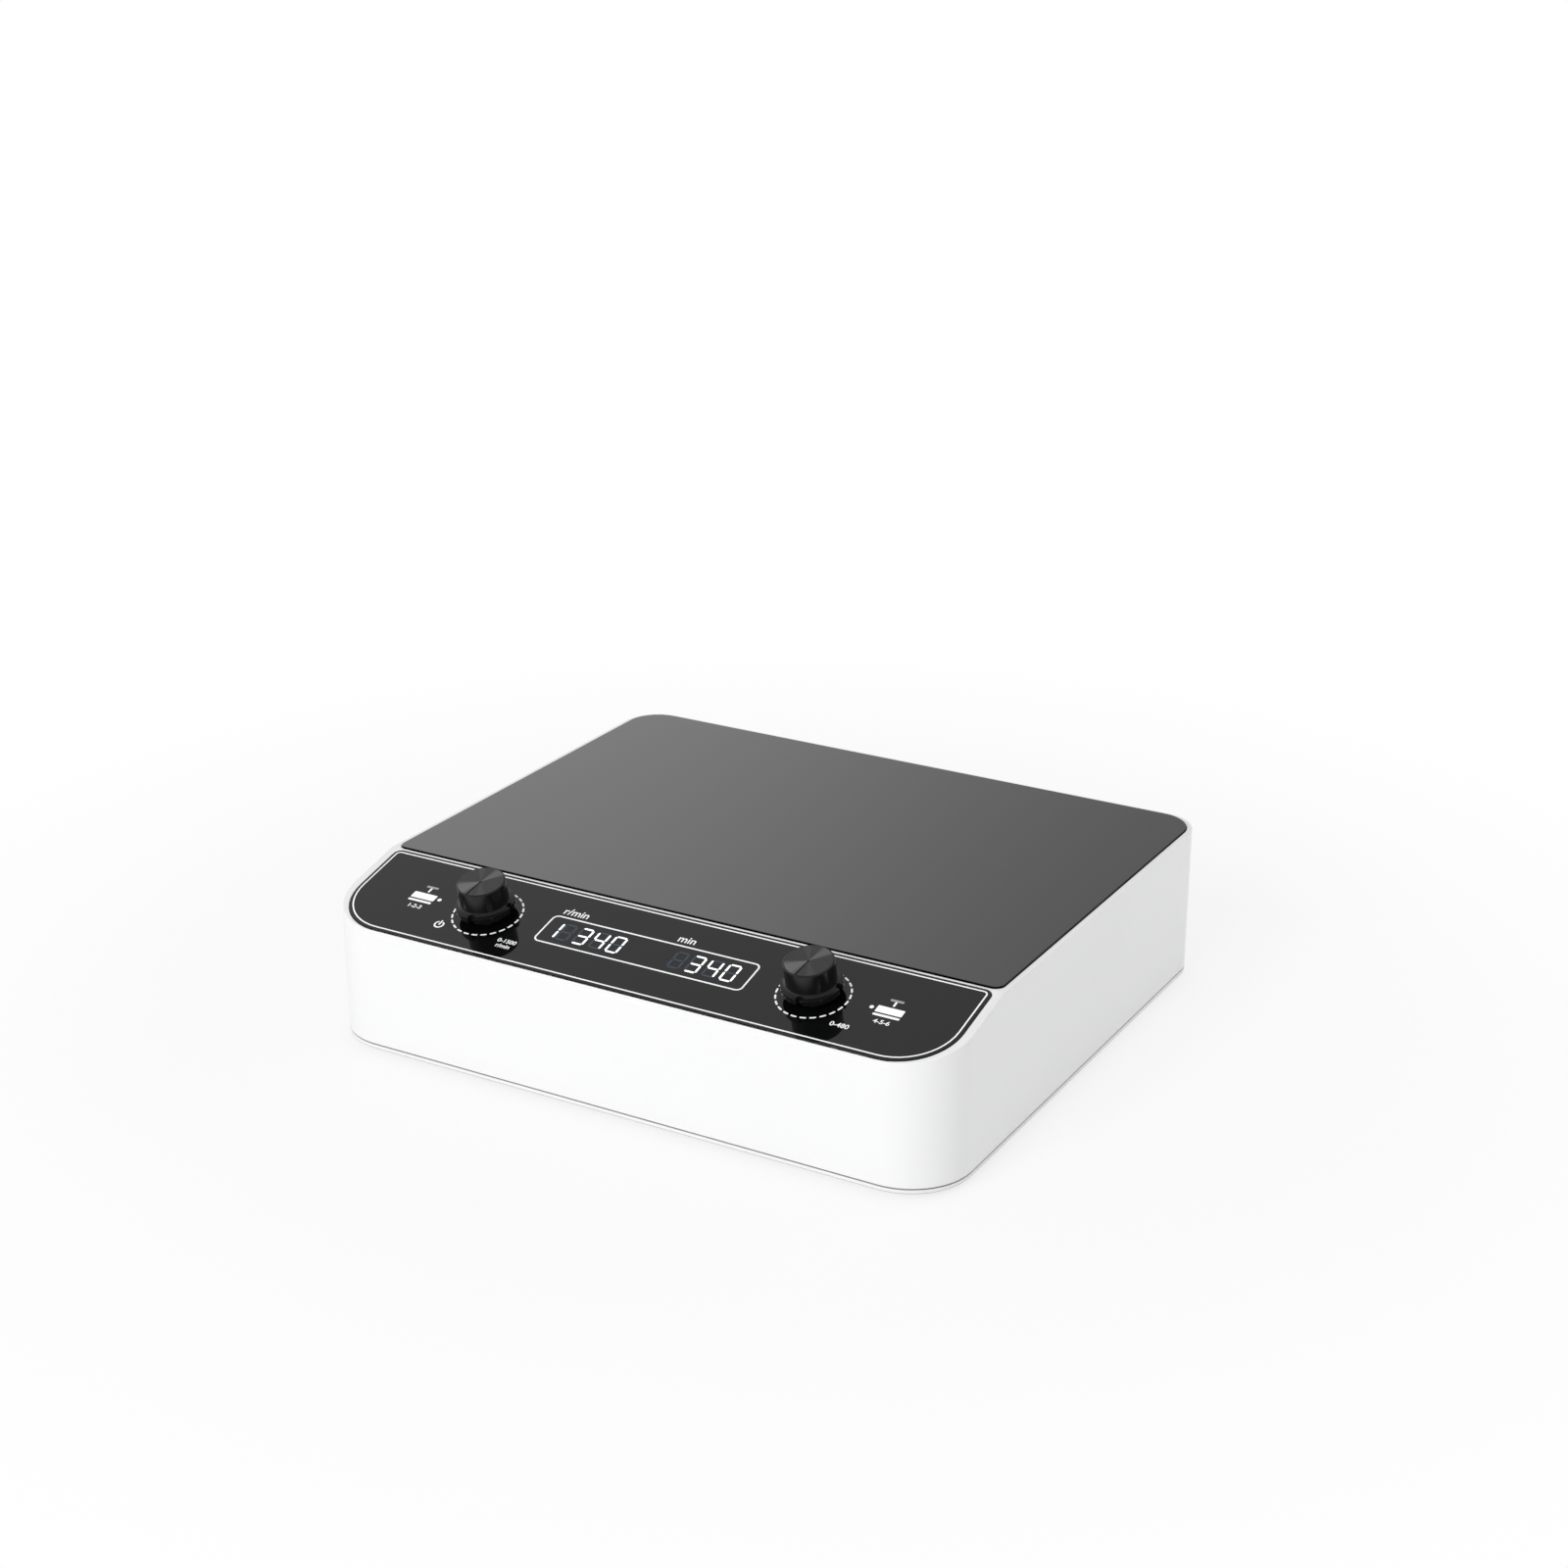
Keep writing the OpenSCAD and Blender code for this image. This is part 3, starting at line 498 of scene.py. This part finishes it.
# %% [markdown]
# ## Soft edges
# No real edge is perfectly sharp: a moulding has a small radius, glass is ground, and that thin strip is
# where the light catches. A Bevel modifier adds it without touching the solid's own mesh. The mesh comes
# as separate triangles, so a Weld and a flat dissolve go first. A small node group then clears the old
# normals and marks the edges to round by their angle. Below a given height they get a fraction of the
# radius, so that the narrow shadow gap round the foot of the housing stays open. A Weighted Normal at the
# end keeps the large faces flat.

# %% Round the edges that show
SHARP_FROM = math.radians(35)
FLAT_WITHIN = math.radians(0.2)
WELD_WITHIN = 0.002 * MM
LOW_SHARE = 0.3
BEVEL_STEPS = 3
FLATTEST = 100


def edge_marker():
    """The node group, and the key of its height input on a modifier."""
    group = bpy.data.node_groups.new("mark_edges", "GeometryNodeTree")
    group.interface.new_socket("Geometry", in_out="INPUT", socket_type="NodeSocketGeometry")
    height_input = group.interface.new_socket("From height", in_out="INPUT", socket_type="NodeSocketFloat")
    group.interface.new_socket("Geometry", in_out="OUTPUT", socket_type="NodeSocketGeometry")
    pen = Wire(group)
    mesh = pen.node("NodeGroupInput", {}, {}, out="Geometry")
    lowest = pen.node("NodeGroupInput", {}, {}, out="From height")
    unmarked = pen.node("GeometryNodeSetMeshNormal", {}, {"Mesh": mesh})
    bend = pen.node("GeometryNodeInputMeshEdgeAngle", {}, {}, out="Unsigned Angle")
    place = pen.node("GeometryNodeInputPosition", {}, {})
    height = pen.node("ShaderNodeSeparateXYZ", {}, {"Vector": place}, out="Z")
    share = LOW_SHARE + (1 - LOW_SHARE) * pen.maths("GREATER_THAN", height, lowest)
    marked = pen.maths("GREATER_THAN", bend, SHARP_FROM) * share
    sockets = {"Geometry": unmarked, "Name": "bevel_weight_edge", "Value": marked}
    settings = {"data_type": "FLOAT", "domain": "EDGE"}
    stored = pen.node("GeometryNodeStoreNamedAttribute", settings, sockets)
    pen.node("NodeGroupOutput", {}, {"Geometry": stored})
    return group, height_input.identifier


mark_edges, height_key = edge_marker()


def soften(name, radius_mm, from_height_mm):
    piece = nodes[name]
    weld = piece.modifiers.new("weld", "WELD")
    weld.merge_threshold = WELD_WITHIN
    merge = piece.modifiers.new("merge_flats", "DECIMATE")
    merge.decimate_type = "DISSOLVE"
    merge.angle_limit = FLAT_WITHIN
    mark = piece.modifiers.new("mark_edges", "NODES")
    mark.node_group = mark_edges
    mark[height_key] = from_height_mm * MM
    bevel = piece.modifiers.new("soft_edge", "BEVEL")
    bevel.width = radius_mm * MM
    bevel.segments = BEVEL_STEPS
    bevel.limit_method = "WEIGHT"
    bevel.use_clamp_overlap = False
    shade = piece.modifiers.new("flat_faces", "WEIGHTED_NORMAL")
    shade.keep_sharp = False
    shade.weight = FLATTEST


# Radius, and the height below which only a share of it is used, both in millimetres
EDGE_RADII = {
    "housing": (0.5, 7.0), "base_plate": (0.35, 0.0), "rubber_feet": (0.5, -1.0),
    "glass_plate": (0.2, 0.0), "control_panel": (0.25, 0.0), "power_inlet": (0.3, 0.0),
    "speed_knob": (0.12, 0.0), "timer_knob": (0.12, 0.0),
    "speed_knob_cap": (0.12, 0.0), "timer_knob_cap": (0.12, 0.0),
}
for name, (radius_mm, from_height_mm) in EDGE_RADII.items():
    soften(name, radius_mm, from_height_mm)
print("softened", len(EDGE_RADII), "nodes")

# %% [markdown]
# ## Printing on the panel
# The markings are white enamel, a few hundredths of a millimetre thick, and the white ones carry a faint
# painted glow of their own. They could be painted in the glass shader, but real geometry keeps crisp
# edges at any distance. One function takes flat outlines in the panel's frame and makes thin closed slabs
# of them: a filled outline, or an outline with a hole for lines that close on themselves.

# %% Make flat prints
INK_SUNK = 0.03 * MM
INK_PROUD = 0.05 * MM
LEAST_R = 0.2


def printed_enamel(pen, level, glow):
    where = place_on_object(pen)
    speckle = noise(pen, where, grain_mm=0.3, detail=3.0)
    return {
        "Base Color": blend(pen, speckle, grey(level), grey(level * 0.96)),
        "Roughness": 0.28 + 0.1 * speckle,
        "Emission Color": grey(1.0),
        "Emission Strength": glow,
    }


# Painted glow: the white prints give off a little light, though no lamp lies behind them
enamel = finish("white_enamel_finish", printed_enamel, level=0.92, glow=0.14)
dim_enamel = finish("grey_enamel_finish", printed_enamel, level=0.36, glow=0.0)


def slab_rings(outline, top):
    """Lower and upper rings of a slab, as lists of points on the object."""
    return [[on_slope(x * MM, s * MM, panel_face + n) for x, s in outline] for n in (-INK_SUNK, top)]


def build_slabs(name, shapes, material, top=INK_PROUD):
    """A piece of thin slabs; a shape is (outline, hole) with the hole or None, both anticlockwise."""
    points = []
    faces = []
    for outline, hole in shapes:
        rings = []
        for loop in (outline, hole) if hole else (outline,):
            low, high = slab_rings(loop, top)
            start = len(points)
            count = len(loop)
            points += low + high
            rings.append((start, start + count, count))
        low, high, count = rings[0]
        steps = [(k, (k + 1) % count) for k in range(count)]
        faces += [(low + k, low + j, high + j, high + k) for k, j in steps]
        if hole:
            low_in, high_in, _ = rings[1]
            faces += [(low_in + j, low_in + k, high_in + k, high_in + j) for k, j in steps]
            faces += [(high + k, high + j, high_in + j, high_in + k) for k, j in steps]
            faces += [(low + j, low + k, low_in + k, low_in + j) for k, j in steps]
        else:
            faces.append([high + k for k in range(count)])
            faces.append([low + k for k in reversed(range(count))])
    mesh = bpy.data.meshes.new(name)
    mesh.from_pydata(points, [], faces)
    mesh.materials.append(material)
    piece = bpy.data.objects.new(name, mesh)
    bpy.context.collection.objects.link(piece)
    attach(piece, "body")
    print(name, len(shapes), "shapes", len(faces), "faces")


def arc(x, s, radius, start_deg, end_deg, steps):
    angles = [math.radians(start_deg + (end_deg - start_deg) * k / steps) for k in range(steps + 1)]
    return [(x + radius * math.cos(a), s + radius * math.sin(a)) for a in angles]


def rounded_box(x0, x1, s0, s1, radii, steps=12):
    """Anticlockwise outline; radii go front left, front right, back right, back left."""
    front_left, front_right, back_right, back_left = radii
    return (
        arc(x0 + front_left, s0 + front_left, front_left, 180, 270, steps)
        + arc(x1 - front_right, s0 + front_right, front_right, 270, 360, steps)
        + arc(x1 - back_right, s1 - back_right, back_right, 0, 90, steps)
        + arc(x0 + back_left, s1 - back_left, back_left, 90, 180, steps)
    )


def framed_box(x0, x1, s0, s1, radii, line):
    """The line of a frame: a rounded box and the same box moved inwards by the line's width."""
    inner_radii = [max(radius - line, LEAST_R) for radius in radii]
    outer = rounded_box(x0, x1, s0, s1, radii)
    return outer, rounded_box(x0 + line, x1 - line, s0 + line, s1 - line, inner_radii)


print("print tools ready")

# %% [markdown]
# ## The outline and the display frame
# A fine white line follows the edge of the glass a little inside it, and a second one frames the
# display. Both are rounded boxes with a hole. The glass has wide radii at the front and tight ones at
# the back, and the line keeps the same distance all round, so its radii are smaller by that distance.

# %% Print the outline and the display frame
glass_half = max(point.x for point in glass_points) / MM
glass_front = min(point.dot(panel_up) for point in glass_points) / MM
glass_back = max(point.dot(panel_up) for point in glass_points) / MM
GLASS_FRONT_R = 28.0
GLASS_BACK_R = 4.0
OUTLINE_INSET = 1.5
OUTLINE_W = 0.72
FRAME_W = 111.0
FRAME_D = 20.3
FRAME_R = 3.2
FRAME_LINE = 0.8
MID_S = KNOB_S / MM

border_radii = [GLASS_FRONT_R - OUTLINE_INSET] * 2 + [GLASS_BACK_R - OUTLINE_INSET] * 2
border = framed_box(
    OUTLINE_INSET - glass_half, glass_half - OUTLINE_INSET,
    glass_front + OUTLINE_INSET, glass_back - OUTLINE_INSET, border_radii, OUTLINE_W,
)
display_frame = framed_box(
    -FRAME_W / 2, FRAME_W / 2, MID_S - FRAME_D / 2, MID_S + FRAME_D / 2, [FRAME_R] * 4, FRAME_LINE,
)
build_slabs("panel_outline_print", [border], enamel)
build_slabs("display_frame_print", [display_frame], enamel)

# %% [markdown]
# ## Dial rings
# A ring of dashes surrounds each knob and leaves a gap at the top, where the knob has no travel. Dashes
# with rounded ends, evenly spaced, are quickest as small arcs in a loop: two arcs of the dash's inner and
# outer radius, joined by half circles.

# %% Print the dial rings
RING_R = 16.85
RING_DASHES = 22
RING_FIRST_DEG = 72.5
RING_STEP_DEG = 15.0
DASH_DEG = 7.4
DASH_W = 0.9
END_STEPS = 6


def dash(x, s, radius, start_deg, sweep_deg, width, steps=8):
    """An arc-shaped stroke with round ends."""
    end_deg = start_deg + sweep_deg
    outer = arc(x, s, radius + width / 2, start_deg, end_deg, steps)
    inner = arc(x, s, radius - width / 2, end_deg, start_deg, steps)
    ends = arc(x, s, radius, start_deg, end_deg, 1)
    tip = arc(*ends[1], width / 2, end_deg, end_deg + 180, END_STEPS)
    tail = arc(*ends[0], width / 2, start_deg + 180, start_deg + 360, END_STEPS)
    return outer + tip[1:-1] + inner + tail[1:-1], None


def dial_ring(knob_x):
    starts = [RING_FIRST_DEG - DASH_DEG / 2 - k * RING_STEP_DEG for k in range(RING_DASHES)]
    return [dash(knob_x, MID_S, RING_R, start, DASH_DEG, DASH_W) for start in starts]


for side, knob_x in (("speed", -KNOB_X / MM), ("timer", KNOB_X / MM)):
    build_slabs(side + "_dial_print", dial_ring(knob_x), enamel)

# %% [markdown]
# ## Symbols
# At each end stands a plain symbol of a plate on a base with a stem above and a dot beside it. Its
# crossbar is printed in grey. Next to the left knob is the usual standby symbol: a ring open at the top
# with a short bar in the opening. They are rounded boxes, straight strokes and arcs, so the same few
# outlines make them all.

# %% Print the symbols
SYMBOL_X = 124.3
PLATE_UP = 0.8
DOT_R = 1.05
DOT_AWAY = 8.9
DOT_SIDES = 24
STANDBY_X = -104.2
STANDBY_UP = -15.4
STANDBY_R = 2.15
STANDBY_LINE = 0.86
STANDBY_GAP_DEG = 76.0
STANDBY_STEPS = 40
MARK_STEPS = 5
# Width, depth, height over the middle line of the panel, and corner radius of each stroke
PLATE = (13.0, 4.4, PLATE_UP, 0.4)
UNDERLINE = (13.0, 1.4, -3.05, 0.5)
STEM = (1.0, 3.3, 5.8, 0.3)
CROSSBAR = (6.6, 1.4, 8.0, 0.5)
STANDBY_BAR = (STANDBY_LINE, 3.5, STANDBY_UP + 1.4, 0.4)


def box_mark(x, stroke):
    width, depth, up, radius = stroke
    front = MID_S + up - depth / 2
    corners = [radius] * 4
    return rounded_box(x - width / 2, x + width / 2, front, front + depth, corners, MARK_STEPS), None


def plate_symbol(x, inner_side):
    last_deg = 360 - 360 / DOT_SIDES
    dot = arc(x + inner_side * DOT_AWAY, MID_S + PLATE_UP, DOT_R, 0, last_deg, DOT_SIDES - 1)
    return [box_mark(x, stroke) for stroke in (PLATE, UNDERLINE, STEM)] + [(dot, None)]


def standby_symbol():
    first_deg = 90 + STANDBY_GAP_DEG / 2
    sweep_deg = 360 - STANDBY_GAP_DEG
    s = MID_S + STANDBY_UP
    ring = dash(STANDBY_X, s, STANDBY_R, first_deg, sweep_deg, STANDBY_LINE, STANDBY_STEPS)
    return [ring, box_mark(STANDBY_X, STANDBY_BAR)]


for side, x, inner_side in (("left", -SYMBOL_X, 1), ("right", SYMBOL_X, -1)):
    build_slabs(side + "_symbol_print", plate_symbol(x, inner_side), enamel)
    build_slabs(side + "_crossbar_print", [box_mark(x, CROSSBAR)], dim_enamel)
build_slabs("standby_print", standby_symbol(), enamel)

# %% [markdown]
# ## Seven-segment digits
# The display sits under the glass and shows two groups of figures. A digit has seven bars with pointed
# ends: lit bars glow white, and unlit ones show as a faint blue-grey. Each bar is a six-sided outline, and
# a table says which bars make a figure.

# %% Light the display
DIGIT_W = 5.7
DIGIT_H = 11.0
DIGIT_PITCH = 9.1
BAR_W = 1.0
BAR_GAP = 0.22
LEFT_GROUP_X = -36.7
RIGHT_GROUP_X = 23.7
HALF_DIGIT_X = -47.2
GROUP_DIGITS = "340"
GHOST_PROUD = 0.01 * MM
LIT_COLOUR = (0.92, 0.95, 1.0, 1)
GHOST_COLOUR = (0.020, 0.032, 0.052, 1)
PATCH_SHARE = 0.93
# Start and end of each bar, in digit widths and half heights
BARS = {
    "top": ((0, 2), (1, 2)), "upper_right": ((1, 2), (1, 1)), "lower_right": ((1, 1), (1, 0)),
    "bottom": ((0, 0), (1, 0)), "lower_left": ((0, 1), (0, 0)), "upper_left": ((0, 2), (0, 1)),
    "middle": ((0, 1), (1, 1)),
}
FIGURES = {
    "0": ("top", "upper_right", "lower_right", "bottom", "lower_left", "upper_left"),
    "1": ("upper_right", "lower_right"),
    "3": ("top", "upper_right", "middle", "lower_right", "bottom"),
    "4": ("upper_left", "middle", "upper_right", "lower_right"),
    "8": tuple(BARS),
}


def bar(x, figure_part):
    """One bar of a figure whose lower left corner is at x, with pointed ends."""
    (x0, s0), (x1, s1) = BARS[figure_part]
    start = Vector((x0 * DIGIT_W, s0 * DIGIT_H / 2))
    end = Vector((x1 * DIGIT_W, s1 * DIGIT_H / 2))
    ahead = (end - start).normalized()
    side = Vector((-ahead.y, ahead.x)) * BAR_W / 2
    start = start + ahead * BAR_GAP
    end = end - ahead * BAR_GAP
    tip = ahead * BAR_W / 2
    loop = [start, start + tip - side, end - tip - side, end, end - tip + side, start + tip + side]
    return [(x + p.x, MID_S - DIGIT_H / 2 + p.y) for p in loop], None


def figure(x, digit):
    return [bar(x, name) for name in FIGURES[digit]]


def unlit(x, digit):
    return [bar(x, name) for name in BARS if name not in FIGURES[digit]]


def glowing(pen, colour, strength):
    where = place_on_object(pen)
    patchy = noise(pen, where, grain_mm=1.6)
    dimmer = tuple(PATCH_SHARE * channel for channel in colour[:3]) + (1.0,)
    uneven = blend(pen, patchy, colour, dimmer)
    return {
        "Base Color": uneven,
        "Roughness": 0.3 + 0.1 * patchy,
        "Emission Color": uneven,
        "Emission Strength": strength,
    }


lit_finish = finish("lit_bar_finish", glowing, LIT_COLOUR, strength=0.9)
ghost_finish = finish("unlit_bar_finish", glowing, GHOST_COLOUR, strength=0.35)
lit = figure(HALF_DIGIT_X - DIGIT_W, "1")
faint = figure(LEFT_GROUP_X - DIGIT_PITCH, "8") + figure(RIGHT_GROUP_X - DIGIT_PITCH, "8")
for group_x in (LEFT_GROUP_X, RIGHT_GROUP_X):
    for k, digit in enumerate(GROUP_DIGITS):
        lit += figure(group_x + k * DIGIT_PITCH, digit)
        faint += unlit(group_x + k * DIGIT_PITCH, digit)
build_slabs("lit_digits", lit, lit_finish)
build_slabs("unlit_digits", faint, ghost_finish, top=GHOST_PROUD)

# %% [markdown]
# ## Units, ranges and places
# The display needs its units, the dials their ranges and the symbols the numbers of the places: short,
# plain lettering. Blender's text objects hold that best, because they stay editable and turn into meshes
# by themselves on export. Each one lies on the glass with the panel's tilt, and a small offset of its
# outline makes the strokes as heavy as the other prints.

# %% Letter the panel
LETTER_EXTRUDE = 0.02 * MM
LETTER_SWELL = 0.07 * MM
# Words, place across, height over the middle line, letter size in millimetres
LETTERS = {
    "speed_unit_print": ("r/min", -46.0, 14.0, 6.4),
    "timer_unit_print": ("min", 14.0, 14.2, 6.4),
    "speed_range_print": ("0-1500\nr/min", -65.6, -17.4, 3.6),
    "timer_range_print": ("0-480", 108.1, -15.5, 4.0),
    "left_places_print": ("1-2-3", -SYMBOL_X, -7.3, 3.7),
    "right_places_print": ("4-5-6", SYMBOL_X, -7.3, 3.7),
}
tilt_matrix = Matrix.Rotation(slope_tilt, 4, "X")
for name, (words, x, up, size) in LETTERS.items():
    curve = bpy.data.curves.new(name, "FONT")
    curve.body = words
    curve.size = size * MM
    curve.align_x = "CENTER"
    curve.align_y = "CENTER"
    curve.extrude = LETTER_EXTRUDE
    curve.offset = LETTER_SWELL
    curve.materials.append(enamel)
    label = bpy.data.objects.new(name, curve)
    middle = on_slope(x * MM, (MID_S + up) * MM, panel_face + LETTER_EXTRUDE)
    label.matrix_world = Matrix.Translation(middle) @ tilt_matrix
    bpy.context.collection.objects.link(label)
    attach(label, "body")
print("labels:", [words for words, *_ in LETTERS.values()])

# %% [markdown]
# ## The studio
# The picture is a bright studio shot on white. A white world seen by the camera and by reflections gives
# the glass its grey, and a weaker one lights the sides. Overhead the studio is darker than at the
# horizon, which is why the sloped panel looks darker than the level plate, and low down it darkens to the
# right, which shades the plate from left to right. One large soft lamp from the front left leaves the
# right side a step darker, and a small one behind lifts that side again towards the back. Neither is
# mirrored in the glass, which would turn half of the plate white when it is seen from behind.

# %% World and lamps
AMBIENT = 0.66
OVERHEAD = 0.62
HORIZON_SIN = 0.42
ZENITH_SIN = 0.78
FAR_RIGHT = 0.5
LEFT_SIN = -0.58
RIGHT_SIN = -0.30
BODY_MIDDLE = Vector((0, 0, 0.04))


def ray_is(pen, kind):
    return pen.node("ShaderNodeLightPath", {}, {}, out="Is " + kind + " Ray")


def shows_background(pen):
    """1 where a ray comes from the camera, straight or by way of gloss or glass."""
    kinds = ray_is(pen, "Camera") + ray_is(pen, "Glossy") + ray_is(pen, "Transmission")
    return pen.maths("MINIMUM", kinds, 1.0)


world = bpy.data.worlds.new("studio")
bpy.context.scene.world = world
world.use_nodes = True
world.node_tree.nodes.clear()
pen = Wire(world.node_tree)
direction = pen.node("ShaderNodeTexCoord", {}, {}, out="Generated")
height = pen.node("ShaderNodeSeparateXYZ", {}, {"Vector": direction}, out="Z")
sideways = pen.node("ShaderNodeSeparateXYZ", {}, {"Vector": direction}, out="X")
overhead = between(pen, height, HORIZON_SIN, ZENITH_SIN)
unseen = 1 - ray_is(pen, "Camera")
low_right = between(pen, sideways, LEFT_SIN, RIGHT_SIN) * (1 - overhead) * unseen
low_colour = blend(pen, low_right, grey(1.0), grey(FAR_RIGHT))
studio_colour = blend(pen, overhead * unseen, low_colour, grey(OVERHEAD))
seen_light = pen.node("ShaderNodeBackground", {}, {"Color": studio_colour, "Strength": 1.0})
room_light = pen.node("ShaderNodeBackground", {}, {"Color": grey(1.0), "Strength": AMBIENT})
light = pen.node("ShaderNodeMixShader", {}, {0: shows_background(pen), 1: room_light, 2: seen_light})
pen.node("ShaderNodeOutputWorld", {}, {"Surface": light})


def soft_lamp(name, place, size, power):
    """A square lamp, in metres and watts, that faces the middle of the body."""
    data = bpy.data.lights.new(name, "AREA")
    data.shape = "SQUARE"
    data.size = size
    data.energy = power
    lamp = bpy.data.objects.new(name, data)
    lamp.location = place
    lamp.rotation_euler = (BODY_MIDDLE - Vector(place)).to_track_quat("-Z", "Y").to_euler()
    lamp.visible_glossy = False
    bpy.context.collection.objects.link(lamp)


soft_lamp("key_lamp", place=(-0.25, -2.5, 1.5), size=1.4, power=38)
soft_lamp("side_lamp", place=(0.9, 1.2, 0.5), size=0.8, power=3.2)
bpy.context.scene.view_settings.view_transform = "Standard"
print("lamps:", [lamp.name for lamp in bpy.data.lights])

# %% [markdown]
# ## The floor
# The instrument stands on a white sweep that melts into the background. The floor is a real surface, so
# it keeps the soft shadow under the body, but towards its edge the camera sees plain white and no
# horizon shows. Reflections see the same white, and the light that the floor gives back is left as it is.

# %% Lay the floor
FLOOR_R = 2.5
FLOOR_SIDES = 96
FADE_START = 0.22
FADE_END = 0.60
NEAR_WHITE = 0.75
PAPER = 0.9


def floor_disc():
    mesh = bpy.data.meshes.new("studio_floor")
    turns = [math.tau * k / FLOOR_SIDES for k in range(FLOOR_SIDES)]
    rim = [(FLOOR_R * math.cos(a), FLOOR_R * math.sin(a), 0.0) for a in turns]
    mesh.from_pydata(rim, [], [list(range(FLOOR_SIDES))])
    return bpy.data.objects.new("studio_floor", mesh)


floor = floor_disc()
bpy.context.collection.objects.link(floor)
floor_finish = bpy.data.materials.new("studio_floor_finish")
floor_finish.use_nodes = True
floor_finish.node_tree.nodes.clear()
pen = Wire(floor_finish.node_tree)
where = place_on_object(pen)
distance = pen.node("ShaderNodeVectorMath", {"operation": "LENGTH"}, {0: where}, out="Value")
whiteness = NEAR_WHITE + (1 - NEAR_WHITE) * between(pen, distance, FADE_START, FADE_END)
paper = pen.node("ShaderNodeBsdfDiffuse", {}, {"Color": grey(PAPER)})
plain_white = pen.node("ShaderNodeEmission", {}, {"Color": grey(1.0), "Strength": 1.0})
shown_white = whiteness * shows_background(pen)
mixed = pen.node("ShaderNodeMixShader", {}, {0: shown_white, 1: paper, 2: plain_white})
pen.node("ShaderNodeOutputMaterial", {}, {"Surface": mixed})
wear(floor, floor_finish)
print("floor radius:", FLOOR_R, "m")

# %% [markdown]
